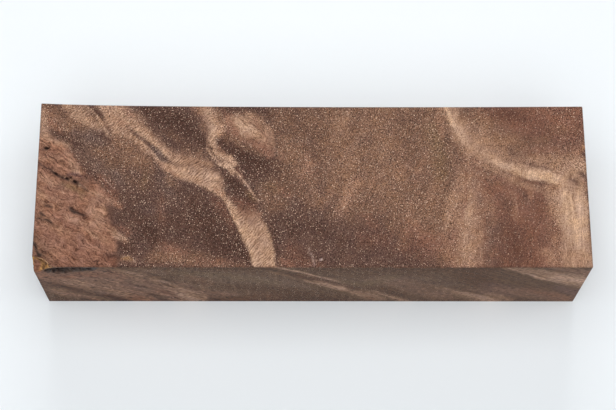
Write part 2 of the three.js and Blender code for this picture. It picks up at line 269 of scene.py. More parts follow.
TOP_STREAKS = [
    # left back corner
    ("fawn", 0.75, 3.9, (-72, 20.6, 1.4), (-69, 18.4, 1.6), (-67.4, 16, 1.2)),
    ("hazel", 0.6, 3.9, (-66, 18.6, 1.2), (-63, 17.2, 1.6), (-60.4, 15.4, 0.8)),
    ("walnut", 0.8, 2.1, (-69.6, 22.6, 0.4), (-66.6, 21.2, 0.5), (-64.2, 19.6, 0.6), (-61.4, 18.4, 0.3)),
    ("honey", 0.75, (3.1, 1.6), (-64, 23, 1.2), (-58.8, 18.4, 1.7), (-53.6, 15, 0.6)),
    ("slate", 0.85, 3.1, (-61.4, 14.4, 0.8), (-58.6, 12.8, 1.8), (-55, 12.6, 2.2), (-52.6, 12.8, 1)),
    ("slate", 0.7, 3.9, (-59.4, 11, 1), (-56, 5.6, 1.4), (-53, 4.4, 1.4), (-49.6, 1.6, 1.6)),
    ("umber", 0.8, (2.1, 2.3), (-66.8, 15.2, 0.3), (-65, 14.3, 0.7), (-61.4, 11.6, 0.9), (-60, 10.6, 0.5)),
    ("umber", 0.6, 2.3, (-60.4, 12.8, 0.5), (-58.4, 9.4, 0.3)),
    ("umber", 0.75, (2.1, 1.8), (-54.6, 14, 0.6), (-53.2, 13.4, 0.9), (-52.2, 12, 0.9), (-51.8, 10.8, 0.4)),
    # tan diagonal band, pale line and dark streak
    ("honey", 0.85, (3.4, 2.1), (-55.4, 23, 1.6), (-52.4, 20.4, 2.2), (-50, 17.4, 2.6), (-48.4, 15.2, 1.8)),
    ("honey", 0.8, (4.2, 2.1), (-51.6, 23, 1.6), (-48.2, 19.8, 2), (-45.4, 17.2, 1.8)),
    ("umber", 0.9, (1.1, 1), (-58.4, 22.8, 0.7), (-54.8, 19.4, 0.5), (-52.8, 15.9, 0.2)),
    ("cream", 0.8, (0.6, 1), (-59.2, 22.4, 0.2), (-55.3, 18.8, 0.25), (-52.9, 14.8, 0.22),
     (-51.6, 13, 0.12)),
    # two light streaks with a dark one between
    ("honey", 0.95, (2.3, 1.1), (-47.6, 17.6, 1.3), (-45, 15.9, 1.2), (-37, 8.7, 1.05), (-34.4, 6.9, 1.3)),
    ("cream", 0.55, 1, (-45, 15.2, 0.35), (-42, 12.8, 0.4), (-36.6, 8, 0.5)),
    ("honey", 0.9, (1.1, 1.7), (-50.6, 14.4, 0.9), (-47.4, 13.5, 0.8), (-45.2, 12.5, 0.7),
     (-43.4, 11, 0.65), (-38.6, 6.2, 0.65), (-34.4, 3.4, 1)),
    ("cream", 0.5, 0.7, (-44.8, 12.4, 0.25), (-38.6, 6.4, 0.3)),
    ("hazel", 0.5, 2.6, (-51, 14.6, 0.8), (-48.6, 12.8, 1.2), (-46, 11.4, 0.8)),
    ("hazel", 0.45, 2.3, (-47.6, 18.8, 0.6), (-41.6, 14.2, 0.8), (-38.6, 11.4, 0.7)),
    ("hazel", 0.35, 1.6, (-51.8, 17.6, 0.5), (-49.6, 15.6, 0.6), (-47.6, 14.4, 0.4)),
    ("bark", 0.9, 0.8, (-44.8, 13.2, 0.1), (-40.6, 10, 0.6)),
    ("slate", 0.95, 0.8, (-40.9, 10.4, 0.4), (-39.5, 8.9, 0.8), (-38.2, 7.4, 0.8), (-37.1, 6, 0.35)),
    ("hazel", 0.75, (3.1, 5.2), (-50.6, 11.8, 1.2), (-43.6, 7.4, 1.4), (-41.2, 5, 0.9)),
    ("olive", 0.5, 2.6, (-42.4, 2.8, 0.6), (-42.8, 0.8, 0.7), (-43, -0.8, 0.4)),
    # striated field, its neck and the greyish wood under it
    ("slate", 0.8, 3.1, (-38, 2.2, 0.8), (-36.6, 0.2, 1.6), (-36, -2.4, 1.2)),
    ("fawn", 0.8, (3.9, 2.6), (-36, 8.4, 0.7), (-29, 6.8, 1.2), (-26, 5.6, 0.8)),
    ("honey", 0.95, (3.6, 1.8), (-37.6, 5, 0.9), (-34, 3.7, 1.9), (-26.6, 1.6, 2.4), (-24.2, 0.5, 1.5)),
    ("cream", 0.3, (2.6, 1.8), (-34.6, 3.6, 0.8), (-27.4, 2.4, 1.2), (-24.6, 1.8, 0.8)),
    ("honey", 0.85, (1.1, 1.6), (-28.4, 0.6, 0.6), (-24, -1.6, 1.1), (-22.8, -3, 0.7)),
    ("umber", 0.75, (3.4, 3.9), (-35.4, -0.8, 0.4), (-32.8, -2.8, 1.2), (-27, -5.4, 0.8)),
    # narrow band from the back edge
    ("sienna", 0.8, (2.6, 3.1), (-30.6, 23, 1.4), (-27.6, 18.2, 0.8)),
    ("honey", 0.9, (1.8, 2.3), (-28, 23, 1.6), (-25.6, 17.2, 1.6), (-25.2, 15.4, 1.6), (-25.9, 12, 1),
     (-25.6, 10.4, 0.8)),
    ("cream", 0.6, 1.6, (-26.4, 19.6, 0.4), (-25, 14.8, 0.8), (-25.6, 12.6, 0.8), (-25.7, 11, 0.6)),
    ("dusk", 0.7, (2.6, 1), (-30.2, 14.6, 0.5), (-28.8, 12.8, 1), (-28, 11.2, 0.8)),
    ("walnut", 0.55, (3.9, 3.1), (-31.6, 9.6, 0.8), (-29, 8.6, 0.8)),
    ("russet", 0.85, 2.9, (-22.8, 19.4, 0.7), (-21.2, 17.6, 1.3), (-20.6, 15.2, 1.2), (-19.6, 13.2, 0.6)),
    ("sienna", 0.5, 2, (-22.2, 18.2, 0.6), (-20.8, 16.6, 0.7)),
    # little dark spot and the line by it
    ("cream", 0.85, 0.6, (-27.2, 10.2, 0.12), (-26.3, 9, 0.25), (-23.4, 5.2, 0.2)),
    ("dusk", 0.9, 0.5, (-26.7, 10.3, 0.12), (-25.9, 9.9, 0.36), (-25.2, 9.2, 0.25)),
    # greenish blob
    ("honey", 0.97, (1, 0.6), (-25.2, 9.3, 0.4), (-22.4, 7, 1.45), (-21, 6.2, 1.3), (-18.5, 5.2, 0.12)),
    ("cream", 0.9, 0.6, (-24, 5.8, 0.35), (-21.2, 4.9, 0.7), (-20.2, 4.1, 0.5)),
    ("cream", 0.55, (1, 0.6), (-22.6, 8.3, 0.3), (-21, 7.3, 0.4), (-19.6, 6.2, 0.3)),
    ("walnut", 0.6, 1, (-24.6, 8.2, 0.25), (-23.6, 7.2, 0.5), (-22.8, 6.6, 0.3)),
    # thin light line
    ("cream", 0.9, 0.45, (-20.5, 4.8, 0.34), (-16.2, -0.6, 0.18), (-14.2, -4.1, 0.15),
     (-13.8, -5.6, 0.1, 0.5)),
    ("sienna", 0.5, 0.8, (-19.2, 2.2, 0.3), (-17.6, 0.4, 0.35)),
    # dark wedge, redder towards the lower band
    ("umber", 0.97, (0.6, 1), (-23.4, 4.2, 0.1), (-20.6, 0.7, 1.5), (-17.2, -3, 1.6), (-15.6, -4.4, 1)),
    ("dusk", 0.5, 1.6, (-22, 2, 0.5), (-20.2, 0, 1), (-18, -2, 0.9)),
    ("brick", 0.85, 2.1, (-21.2, -3.4, 0.5), (-18.8, -4.6, 1), (-16.4, -5.8, 1), (-14.8, -6, 0.5)),
    ("sienna", 0.85, (2.1, 2.3), (-19.2, -6.8, 0.8), (-17, -8, 1.3), (-14.8, -8.2, 1.3), (-13.4, -8, 0.6)),
    ("brick", 0.8, (2.1, 3.1), (-25.4, -3.2, 0.3), (-23.2, -5.8, 1.1), (-20.2, -11, 0.4)),
    # lower light band, its lightness partly painted sheen
    ("honey", 0.97, (1.6, 1), (-16.2, -9.6, 1.6, 0.5), (-15.4, -11.4, 2.6, 0.9), (-14.3, -14, 2.9),
     (-12.4, -20, 2.75), (-11.8, -24, 2.8)),
    ("sienna", 0.5, (2.1, 1.8), (-15.6, -9.4, 0.8), (-13.6, -10.6, 1), (-13, -12.4, 0.6)),
    ("peach", 0.85, (1.6, 0.6), (-23.2, -2.8, 0.3, 0.7), (-21.5, -4.7, 0.6), (-19.9, -7.3, 0.8),
     (-17.6, -12.6, 0.8), (-16.7, -15.6, 0.6), (-15.2, -18.4, 0.5), (-14.3, -22, 0.4)),
    ("cream", 0.6, 2.1, (-15.8, -12.6, 0.7), (-12.8, -19.4, 1.3), (-12.2, -22, 1.2)),
    ("peach", 0.8, 0.7, (-12.1, -10.6, 0.2), (-10.4, -16, 0.35), (-9.4, -22.4, 0.45)),
    ("hazel", 0.35, 0.8, (-15.6, -10.8, 0.25), (-12.4, -14.2, 0.2)),
    ("hazel", 0.3, 0.8, (-14.2, -16.4, 0.25), (-12.2, -18.2, 0.25), (-11.2, -18.8, 0.2)),
    ("dusk", 0.7, (3.1, 0.8), (-18.9, -13.6, 0.5), (-17.7, -16.6, 0.9), (-16.5, -19.6, 0.9),
     (-15.8, -21.6, 0.5)),
    ("dusk", 0.5, (0.8, 3.1), (-10.9, -11.6, 0.4), (-9.2, -17.6, 0.7), (-8.8, -19.6, 0.3)),
    # the eye
    ("fawn", 0.6, (2.9, 2.3), (-17.6, 19.8, 0.6), (-14.4, 18.6, 1), (-12.2, 16.2, 1.2), (-10.7, 13, 1.1),
     (-10.3, 9.6, 0.9), (-10.8, 7.8, 0.4)),
    ("rose", 0.9, 1.8, (-19.8, 15.4, 0.8), (-18, 13.8, 1.2), (-13.2, 11.6, 1.5), (-11.4, 9.8, 1),
     (-10.6, 8.2, 0.5)),
    ("fawn", 0.85, 1.8, (-17, 14.8, 1.2), (-14.6, 14, 1.6), (-12.4, 12.2, 1.2), (-11.3, 10.2, 0.6)),
    ("cream", 0.6, (2.3, 1.6), (-20, 18.4, 0.7), (-18.8, 17.4, 1.4), (-17.2, 16.8, 1.7),
     (-14.6, 15.2, 0.4)),
    ("peach", 0.25, (1.6, 1.1), (-18.6, 17.8, 0.5), (-17.4, 16.8, 0.8), (-16.2, 16.2, 0.4)),
    ("honey", 0.7, (1.1, 0.8), (-16.8, 19.8, 0.4), (-15.4, 18.4, 0.7), (-14.2, 17, 0.7),
     (-13.6, 15.8, 0.3)),
    ("honey", 0.65, 1, (-18.4, 14.8, 0.4), (-17.8, 13.6, 0.5), (-16.8, 12.8, 0.3)),
    ("honey", 0.5, 1.1, (-15, 14.4, 0.4), (-13.4, 13.2, 0.5), (-12.2, 11.4, 0.5), (-11.4, 9.8, 0.2)),
    ("russet", 0.6, 0.7, (-15.6, 19.2, 0.15), (-14.4, 17.6, 0.22), (-13.5, 16, 0.15)),
    ("walnut", 0.65, 0.7, (-18.6, 13.6, 0.12), (-17.2, 12.6, 0.2), (-14.4, 13, 0.15)),
    ("walnut", 0.45, 0.6, (-13.4, 12.2, 0.12), (-12.2, 10.6, 0.2), (-11.6, 9, 0.12)),
    # right of the wedge
    ("walnut", 0.7, 3.1, (-13.4, -1, 0.8), (-11.4, -3.2, 1.6), (-10.4, -5.6, 1.2)),
    ("olive", 0.5, 2.3, (-12.4, 0, 0.4), (-10.2, -0.6, 0.9), (-8.6, -1.6, 0.4)),
    ("russet", 0.5, 2.1, (-8.4, -0.8, 0.5), (-7, -2.2, 0.9), (-5.6, -3, 0.4)),
    # middle: slanting rays
    ("sienna", 0.75, 3.9, (11.8, 1.8, 0.5), (10.4, -0.8, 1.2), (8.6, -4, 1.3), (7, -7.2, 0.7)),
    ("fawn", 0.4, 1.6, (11, 0.4, 0.3), (10.2, -1.4, 0.5), (9.2, -3.4, 0.3)),
    ("sienna", 0.4, 3.1, (5, -2, 0.6), (2.6, -4.4, 0.9)),
    ("fawn", 0.4, 3.1, (10, 21, 0.5), (8.8, 18, 1), (7.2, 14.6, 0.8)),
    ("fawn", 0.4, 2.3, (14.2, 20.4, 0.4), (12, 13.6, 0.7), (9.4, 7, 0.5), (8.8, 5, 0.2)),
    ("fawn", 0.35, 2.3, (15.4, 9.8, 0.4), (14.4, 8, 0.7)),
    ("fawn", 0.35, 2.6, (20.6, 13, 0.4), (19, 9.6, 0.7), (17.4, 5.2, 0.4)),
    ("sienna", 0.5, 2.9, (24.4, 6.2, 0.4), (22.8, 4, 0.9), (21.4, 2, 0.4)),
    ("sienna", 0.45, 3.1, (28.8, 8, 0.5), (27.4, 4.4, 0.9), (26.4, 0.6, 0.6)),
    ("sienna", 0.4, 2.6, (17.6, 3, 0.4), (16.2, 1.2, 0.7), (15.2, -1, 0.4)),
    ("sienna", 0.45, 2.6, (31, -0.6, 0.5), (29.8, -3.2, 0.7), (29.4, -5.6, 0.3)),
    ("bark", 0.35, 2.6, (24, 18.6, 0.4), (22.8, 16, 0.9)),
    ("bark", 0.4, 2.6, (26.2, 11.4, 0.4), (25.6, 8.6, 0.6), (25.4, 6, 0.3)),
    ("sienna", 0.4, 2.3, (25, -5, 0.4), (24.4, -8, 0.6), (25.8, -11.4, 0.6), (26.6, -13.4, 0.3)),
    ("bark", 0.5, 2.6, (21.4, -12.4, 0.6), (20.6, -15, 0.8), (18, -18.4, 0.8)),
    # bright band at the plain end, its lightness partly painted sheen
    ("sienna", 0.6, (3.1, 1.1), (32, 22.6, 0.9), (33.6, 20.4, 0.9), (34.4, 18.4, 0.4)),
    ("fawn", 0.85, (6.5, 3.1), (35.6, 23.6, 2.2), (39.4, 14.2, 2.8), (42.6, 10.6, 2.6), (47, 8.2, 1.8)),
    ("hazel", 0.6, 6.5, (42, 20, 2), (45, 15, 2.6), (50, 11, 2.2)),
    ("honey", 0.75, (4.4, 2.1), (34.8, 23, 1), (37.6, 14.6, 1.5), (43.2, 8.8, 1.4), (46.6, 7, 1.3)),
    ("peach", 0.9, (1.1, 0.6), (34.6, 21.6, 0.3), (35.3, 19.8, 0.5), (35.9, 17.6, 0.55), (36.8, 15.4, 0.3)),
    ("cream", 0.8, (1.6, 1), (36, 17, 0.5), (38.6, 12.4, 0.7), (40.2, 10.8, 0.4)),
    ("cream", 0.45, (2.1, 1.8), (37, 19.4, 0.5), (38, 16.4, 0.6), (38.8, 13.6, 0.4)),
    ("fawn", 0.75, (0.8, 1.6), (39.4, 11.4, 0.4), (39.9, 9.2, 0.45), (40.1, 6.8, 0.4), (40, 4.4, 0.2)),
    ("hazel", 0.5, 1.8, (36, 13, 0.5), (37.4, 10.4, 0.9), (38, 7.6, 0.6)),
    ("fawn", 0.6, 2.6, (41, 8.8, 0.6), (43.2, 7, 0.9), (44.6, 5.6, 0.6)),
    ("bark", 0.55, 2.3, (50.4, 9.6, 0.4), (52, 7.8, 0.8), (53, 6.6, 0.4)),
    ("honey", 0.85, (2.3, 1.6), (45.4, 6.8, 0.7), (48.4, 5.6, 1.3), (54, 3.8, 1.7), (63, 2.2, 2)),
    ("cream", 0.9, (1.6, 0.7), (46.4, 6.3, 0.35), (48.4, 5.3, 0.8), (54, 3.4, 1.3), (60, 2.4, 1.5),
     (62.6, 1.7, 1.5)),
    ("fawn", 0.7, (0.8, 2.3), (46, 5, 0.8), (52, 2.8, 0.6)),
    ("peach", 0.7, (1, 0.7), (54.6, 3.6, 0.5), (56.6, 3.2, 0.7), (58.2, 2.6, 0.5)),
    ("peach", 0.75, 0.8, (59.8, 2.7, 0.6), (61.2, 2.7, 0.8), (62.2, 2.4, 0.7)),
    ("fawn", 0.45, 0.5, (54, 4.4, 0.15), (54.2, 2.6, 0.15)),
    ("fawn", 0.6, (2.1, 1.8), (56, 7, 0.6), (58.6, 6.6, 0.9), (60.4, 6, 0.5)),
    ("fawn", 0.85, 2.3, (61.4, 5.2, 0.9), (64, 4.6, 1.6), (69, 6, 1.6)),
    ("honey", 0.8, (1.8, 1.6), (66.6, 6.4, 0.8), (71, 5.4, 1.1)),
    ("fawn", 0.6, 1.6, (62.6, 3.4, 0.7), (64.6, 3.4, 0.7)),
    ("sienna", 0.85, (2.1, 1.8), (67.6, 8.4, 0.7), (69, 10.6, 0.9), (70.4, 12.8, 0.7)),
    ("amber", 0.35, 1.1, (68.8, 9.4, 0.3), (70, 11.4, 0.5)),
    # light upright column, its lightness partly painted sheen
    ("fawn", 0.95, (3.4, 1.6), (62.8, 0.4, 0.9), (63.4, -4, 1.6), (65, -16, 2.6), (65.4, -24, 3.4)),
    ("honey", 0.85, (2.3, 1.1), (63.8, 0.2, 1.2), (65.4, -3, 2.9), (65.8, -8, 3), (66.4, -18, 1.8),
     (66.4, -24, 1.6)),
    ("peach", 0.85, (1, 0.8), (63.9, -1.4, 0.4), (63.9, -4.4, 0.8), (64.2, -7.6, 0.7), (64.6, -10.4, 0.3)),
    ("ivory", 0.5, (1.1, 0.7), (67.4, -1.8, 0.6), (67.4, -5, 1), (67, -13, 1.1), (66.4, -16.4, 0.5)),
    ("peach", 0.6, 1, (65.8, -4, 0.4), (66, -13.6, 0.8), (67, -17.4, 0.4)),
    ("sienna", 0.55, (2.1, 1.8), (63.6, -17.6, 0.9), (66, -20, 1.6), (68.6, -22, 1.6)),
    ("fawn", 0.7, 1.6, (66.6, -18.4, 1.2), (67.6, -22, 1.4)),
    ("brick", 0.75, 2.1, (60.4, -10.8, 0.5), (61.6, -11.8, 0.9), (62.4, -13, 0.4)),
    ("sienna", 0.75, 2.9, (57, -17.8, 0.9), (59.4, -18.6, 1.3), (61.4, -20.4, 1.2)),
    ("fawn", 0.45, 2.1, (58.2, -17.8, 0.5), (59.6, -18.2, 0.6)),
    # tan columns
    ("fawn", 0.75, 2.9, (35.4, -2, 0.6), (34.6, -5, 0.8), (34.4, -8.6, 0.8), (33.6, -11.6, 0.4)),
    ("fawn", 0.55, 3.9, (38, 4, 1.6), (38, -5.6, 3.2), (38, -23, 3.4)),
    ("fawn", 0.6, (3.4, 2.9), (40.4, 1, 0.8), (39.6, -10, 1.7), (38.8, -15, 1.8), (38.4, -23, 2)),
    ("honey", 0.75, 1.8, (39.4, -5.6, 0.4), (39.2, -8, 0.8), (39.6, -10.4, 0.4)),
    ("honey", 0.5, 1.8, (38.6, -13.4, 0.6), (38.4, -17, 0.9), (38, -20.4, 0.6)),
    ("fawn", 0.45, 1.1, (42.2, -11.4, 0.4), (42.2, -21, 0.4)),
    ("fawn", 0.35, 1.6, (33.6, -15.6, 0.3), (33.4, -18.4, 0.5), (33.2, -20.4, 0.3)),
    ("russet", 0.6, 2.6, (35.6, -12.6, 0.7), (35, -16.6, 1), (35.2, -21, 0.8)),
    ("walnut", 0.6, (1.6, 0.8), (35.3, 14.4, 0.15), (35.5, 10, 0.3), (35.2, 5, 0.35), (35, 1, 0.3),
     (33, -6, 0.15)),
    ("russet", 0.65, 0.7, (39, 3.4, 0.12), (38.9, -1, 0.18), (38.4, -5.6, 0.2), (37.6, -9.4, 0.15)),
    ("russet", 0.7, (2.1, 1.8), (42.2, 6.2, 0.4), (44.2, -1.2, 0.7), (44.6, -3.6, 0.4)),
    ("brick", 0.45, 0.8, (43.6, -5, 0.15), (43.1, -20, 0.2)),
    # stained wood between the columns
    ("sienna", 0.7, 2.3, (45.6, -3.4, 0.6), (45.8, -7.6, 0.8), (45.4, -11, 0.4)),
    ("sienna", 0.6, 2.3, (50.6, -1.8, 0.6), (51, -5, 0.9), (51.6, -8.6, 0.7)),
    ("bark", 0.6, (2.1, 1.8), (52.6, -1.4, 0.6), (54, -2.8, 0.9), (54.4, -4.6, 0.5)),
    ("sienna", 0.6, 1.1, (55.4, 0.2, 0.4), (55.4, -2, 0.5), (55.1, -5, 0.3)),
    ("brick", 0.85, 2.6, (57.6, -3.2, 0.7), (57.2, -6.4, 1.2), (57.2, -9, 0.9)),
    ("brick", 0.6, 3.1, (55.6, -12, 0.8), (57, -13.6, 0.8)),
    ("hazel", 0.5, 2.1, (45, 0.6, 0.6), (50, 0.8, 0.7), (55.6, 0.4, 0.5), (59.6, -0.8, 0.5)),
    ("sienna", 0.5, 2.1, (57.6, -1, 0.5), (59.6, -2.4, 0.8), (60.4, -5, 0.5)),
    ("brick", 0.6, 0.6, (52.3, -3.2, 0.15), (52.2, -7, 0.2), (51.9, -10.5, 0.15)),
    ("dusk", 0.4, 0.6, (54.8, -13.4, 0.12), (54.4, -20, 0.14)),
    # front edge, left and middle
    ("hazel", 0.75, (3.9, 3.1), (-40, -19.6, 0.9), (-35.6, -19, 1.9), (-24, -21.4, 0.9),
     (-17.4, -22.4, 0.5)),
    ("russet", 0.6, 3.1, (-37.6, -16.4, 0.8), (-35, -17.4, 1.2), (-32, -17.6, 0.7)),
    ("russet", 0.5, 2.6, (-38, -3.4, 0.5), (-38.4, -7, 0.8), (-37.4, -10, 0.5)),
    ("fawn", 0.6, 2.1, (-49, -20.4, 0.4), (-46.6, -19.6, 0.7), (-44.6, -20.4, 0.4)),
    ("slate", 0.4, 3.1, (-43.6, -5.6, 1), (-40.6, -7.4, 1.4)),
    ("walnut", 0.3, 1, (-27.4, -3.4, 0.15), (-28.4, -7.4, 0.25), (-29.8, -12, 0.15)),
    # A thin reddish line along the front edge: painted highlight of the eased edge
    ("russet", 0.45, 0.6, (-46, -22, 0.25), (62, -22, 0.25)),
    # burl
    ("rose", 0.98, (2.1, 3.9), (-73, 13.4, 1.6), (-67.4, 10.2, 2.2), (-64.4, 7.4, 3), (-60, 0, 3.8),
     (-58.4, -4, 5.4), (-56.8, -13, 7.2), (-57.4, -24, 8.6)),
    ("rose", 0.98, 3.9, (-72, 8, 5), (-67, -12, 6), (-66, -22, 8)),
    ("rose", 0.95, 1.6, (-59, 0.4, 1), (-53, -3, 1.5), (-48.4, -6, 0.4)),
    ("brick", 0.85, (1.8, 1.6), (-59, 5.6, 0.2), (-58, 3.8, 0.6), (-56, 2.3, 0.8), (-53.6, 1.6, 0.8),
     (-51.4, 0.2, 0.6), (-50.2, -2, 0.5), (-49.6, -3.6, 0.2)),
    ("bark", 0.85, 1.1, (-52.2, -5.2, 0.2), (-51.4, -6.8, 0.6), (-50, -10.4, 0.5)),
    ("honey", 0.7, 1.6, (-57.4, -1.2, 0.3), (-55, -2.4, 0.6), (-50.4, -4.9, 0.35)),
    ("fawn", 0.55, 1.8, (-55, -4.2, 0.4), (-53, -6, 0.8), (-52.6, -8, 0.6)),
    ("fawn", 0.85, 1.1, (-51.4, -11.4, 0.4), (-49.9, -12.9, 0.8), (-46.6, -15.6, 0.5)),
    ("cream", 0.7, 0.5, (-50.2, -11.8, 0.15), (-47.2, -14.5, 0.2), (-46, -15.6, 0.1)),
    ("cream", 0.65, 0.5, (-50.4, -13.2, 0.12), (-49, -14.3, 0.2), (-47.4, -15.7, 0.15)),
    ("dusk", 0.85, 1.8, (-48.8, -15.4, 0.3), (-47.6, -16.4, 0.9), (-46.6, -17.4, 0.6)),
    ("dusk", 0.85, 1.6, (-51.4, -18.6, 0.2), (-50, -19.3, 0.7), (-48.8, -19.4, 0.35)),
    ("amber", 0.4, 0.8, (-47.4, -19.6, 0.3), (-46.4, -19.4, 0.5), (-45.4, -19.8, 0.3)),
    # shades of the burl
    ("honey", 0.75, 2.1, (-71, 14.6, 0.4), (-68.4, 12.6, 0.9), (-62.4, 10.6, 0.4)),
    ("fawn", 0.5, 2.1, (-71, 7.6, 0.6), (-68.4, 7, 0.7), (-66.6, 6.6, 0.4)),
    ("honey", 0.75, 1.8, (-62, 6.8, 0.3), (-60.6, 5, 0.8), (-59.4, 3.4, 0.7), (-58.4, 2.4, 0.3)),
    ("cream", 0.6, 0.7, (-61, 4.6, 0.15), (-60.2, 3.6, 0.3), (-59.4, 2.9, 0.15)),
    ("honey", 0.45, 0.8, (-63.6, 9.2, 0.25), (-62.6, 8.4, 0.35), (-61.8, 7.8, 0.2)),
    ("fawn", 0.55, 2.6, (-70.4, 2.6, 0.6), (-68, 1.6, 0.9), (-65.4, -0.4, 0.9), (-63, -1.4, 0.5)),
    ("fawn", 0.55, 3.1, (-70.4, -3.4, 0.8), (-67.4, -3.6, 0.9), (-64.6, -5.4, 0.8)),
    ("honey", 0.4, 2.1, (-62.6, -8.4, 0.5), (-57.6, -10.2, 0.6), (-55, -10, 0.4)),
    ("fawn", 0.6, 2.9, (-56, -5.4, 0.8), (-54.4, -8.4, 1.2), (-53.4, -11.4, 0.8)),
    ("fawn", 0.5, 2.6, (-65.4, -10.6, 0.5), (-63.4, -11.8, 0.9), (-61.6, -12.8, 0.5)),
    ("honey", 0.35, 1.8, (-55.6, -13, 0.4), (-53.4, -14.2, 0.7), (-51.4, -15.4, 0.5)),
    ("walnut", 0.5, 1.8, (-67.4, 8.4, 0.4), (-65, 7, 0.6), (-63.6, 5.4, 0.4)),
    ("russet", 0.5, 1.6, (-65.6, 9.4, 0.4), (-64, 8.8, 0.5)),
    ("olive", 0.7, 1.8, (-63.4, 0.2, 0.3), (-61.6, -0.6, 0.7), (-58, -2, 0.3)),
    ("russet", 0.55, 1.8, (-70.4, 0, 0.4), (-68, -1.2, 0.5), (-66, -2.6, 0.4)),
    ("walnut", 0.55, 2.6, (-70.6, -7.2, 0.6), (-68.4, -8.8, 1), (-65.8, -10.2, 0.8), (-64.4, -11, 0.3)),
    ("russet", 0.5, 2.1, (-64.6, -7.6, 0.4), (-63.2, -9, 0.6)),
    ("russet", 0.6, 1.8, (-67.4, -12.8, 0.4), (-65.4, -14, 0.7), (-63.6, -15.2, 0.4)),
    ("walnut", 0.75, 3.4, (-71, -12.6, 1), (-66.8, -18.4, 1.3), (-64.6, -20.8, 0.8)),
    ("russet", 0.5, 2.1, (-62, -13.6, 0.5), (-59.4, -15, 0.7), (-57.2, -16, 0.4)),
    ("brick", 0.6, 2.3, (-64, -20.4, 0.5), (-61.4, -21.4, 0.9), (-57.4, -22, 0.9), (-52.6, -21.6, 0.8)),
    ("russet", 0.6, 1.8, (-55.6, -18, 0.4), (-53.4, -18.8, 0.7), (-51.6, -19.8, 0.4)),
    ("russet", 0.45, 1.6, (-52.4, -15.4, 0.3), (-50.6, -16.4, 0.5)),
    # softer changes of tone over the streaks
    ("honey", 0.6, 2.4, (-70.6, 20.6, 1.4), (-69.6, 18, 1.2), (-69.2, 15, 1)),
    ("hazel", 0.6, 2.4, (-65.4, 17.6, 0.8), (-63.6, 15.8, 1.2), (-62.8, 14.4, 0.7)),
    ("bark", 0.75, 2, (-58.8, 5.8, 0.5), (-57, 4, 0.8), (-57.2, 1.4, 0.7)),
    ("walnut", 0.6, 1.8, (-58.4, 2, 0.6), (-57.6, 0.4, 0.8)),
    ("fawn", 0.6, 1.4, (-47.4, 14, 0.5), (-43.2, 10.3, 0.45), (-41.2, 8.2, 0.4)),
    ("fawn", 0.6, 2, (-53, 20.6, 1), (-50.8, 18.4, 1.4), (-49, 16.6, 0.8)),
    ("hazel", 0.6, 1.8, (-37.2, 1.8, 0.6), (-35.4, 0.6, 0.7)),
    ("fawn", 0.4, 1.6, (-53, -8.8, 0.6), (-51.6, -10.6, 0.6)),
    ("brick", 0.45, 2, (-59.4, -18.6, 0.7), (-57, -19.8, 0.9), (-54.6, -20.6, 0.6)),
    ("fawn", 0.85, 1.2, (-24.8, 19.2, 1.2), (-23.6, 17.4, 1.3), (-23.2, 15.6, 1.2), (-23.7, 14, 0.9)),
    ("sienna", 0.7, 1.8, (-21.4, 18.4, 0.8), (-20.8, 16, 0.9), (-20.8, 14.2, 0.6)),
    ("walnut", 0.8, 1.6, (-19.4, 11.4, 0.6), (-16.6, 9.9, 0.9), (-13.2, 8.2, 0.8)),
    ("sienna", 0.7, 1.2, (-18, 12.2, 0.35), (-16.2, 11.2, 0.5), (-14.4, 10.3, 0.4)),
    ("hazel", 0.6, 2, (-10, 14.4, 0.6), (-8, 8, 0.9)),
    ("sienna", 0.5, 1.8, (-10.6, 9.2, 0.5), (-8.6, 9, 0.5), (-7.4, 7.4, 0.7)),
    ("cream", 0.7, (1.6, 1.4), (-19.4, 17.8, 0.5), (-18.4, 16.6, 1), (-16.8, 16.3, 1.2), (-15.4, 15.4, 1),
     (-14.2, 15, 0.5)),
    ("honey", 0.6, 1.4, (-18.6, 15.4, 0.5), (-17.6, 14.6, 0.7), (-15.8, 14.2, 0.8), (-14.4, 14.4, 0.5)),
    ("fawn", 0.6, 1.2, (-14, 16.8, 0.5), (-12.6, 15.4, 0.8), (-11.6, 13.8, 0.5)),
    ("fawn", 0.5, 0.8, (-16.6, 19.7, 0.3), (-15, 18.9, 0.35), (-13.8, 17.3, 0.3)),
    ("honey", 0.8, 0.5, (-18.6, 15.2, 0.15), (-18.2, 14.2, 0.22), (-17.1, 12.7, 0.12)),
    ("russet", 0.6, 0.8, (-15.8, 18.4, 0.15), (-14.5, 17.2, 0.25), (-13.6, 16, 0.15)),
    ("walnut", 0.6, 0.7, (-18, 13.4, 0.12), (-16.8, 12.5, 0.2), (-15.4, 12.2, 0.25), (-14.2, 12.5, 0.15)),
    ("honey", 0.6, (2.4, 0.8), (-22, -4, 0.4), (-18, -9.8, 1.2), (-16.6, -12.6, 1.4)),
    ("honey", 0.7, 1, (-13.8, -9.8, 0.5), (-12.8, -12.4, 0.8), (-11.8, -15.2, 0.6)),
    ("fawn", 0.55, 1.6, (-14.8, -14.8, 0.8), (-13.4, -16.8, 1.2), (-12.6, -18.2, 0.8)),
    ("honey", 0.8, 0.6, (-21.4, 4.6, 0.4), (-20.8, 3.5, 0.45), (-20.2, 2.8, 0.2)),
    ("sienna", 0.55, 3, (-1.6, 8, 1), (-1, 5, 1.4), (-2.4, 2.4, 1)),
    ("hazel", 0.6, 3, (-3, -0.6, 1), (-1.8, -3, 1.4), (1.2, -5.4, 1.4)),
    ("fawn", 0.45, (1.6, 1), (33.2, 22, 0.7), (34.8, 15.8, 0.7), (36.2, 13, 0.9), (39.4, 8.6, 0.7)),
    ("fawn", 0.65, (1.4, 1.8), (42.6, 5.8, 0.6), (50.4, 1.8, 0.9), (57.4, -1.2, 0.8)),
    ("rose", 0.65, 3, (55, 9.6, 1), (59, 9.6, 1.4), (67.4, 10, 1.2)),
    ("russet", 0.6, 2, (46.4, -2.6, 0.6), (47.4, -6, 1.2), (47.4, -9, 1)),
    ("russet", 0.45, 2.4, (45.8, -15, 0.8), (45.6, -19, 1)),
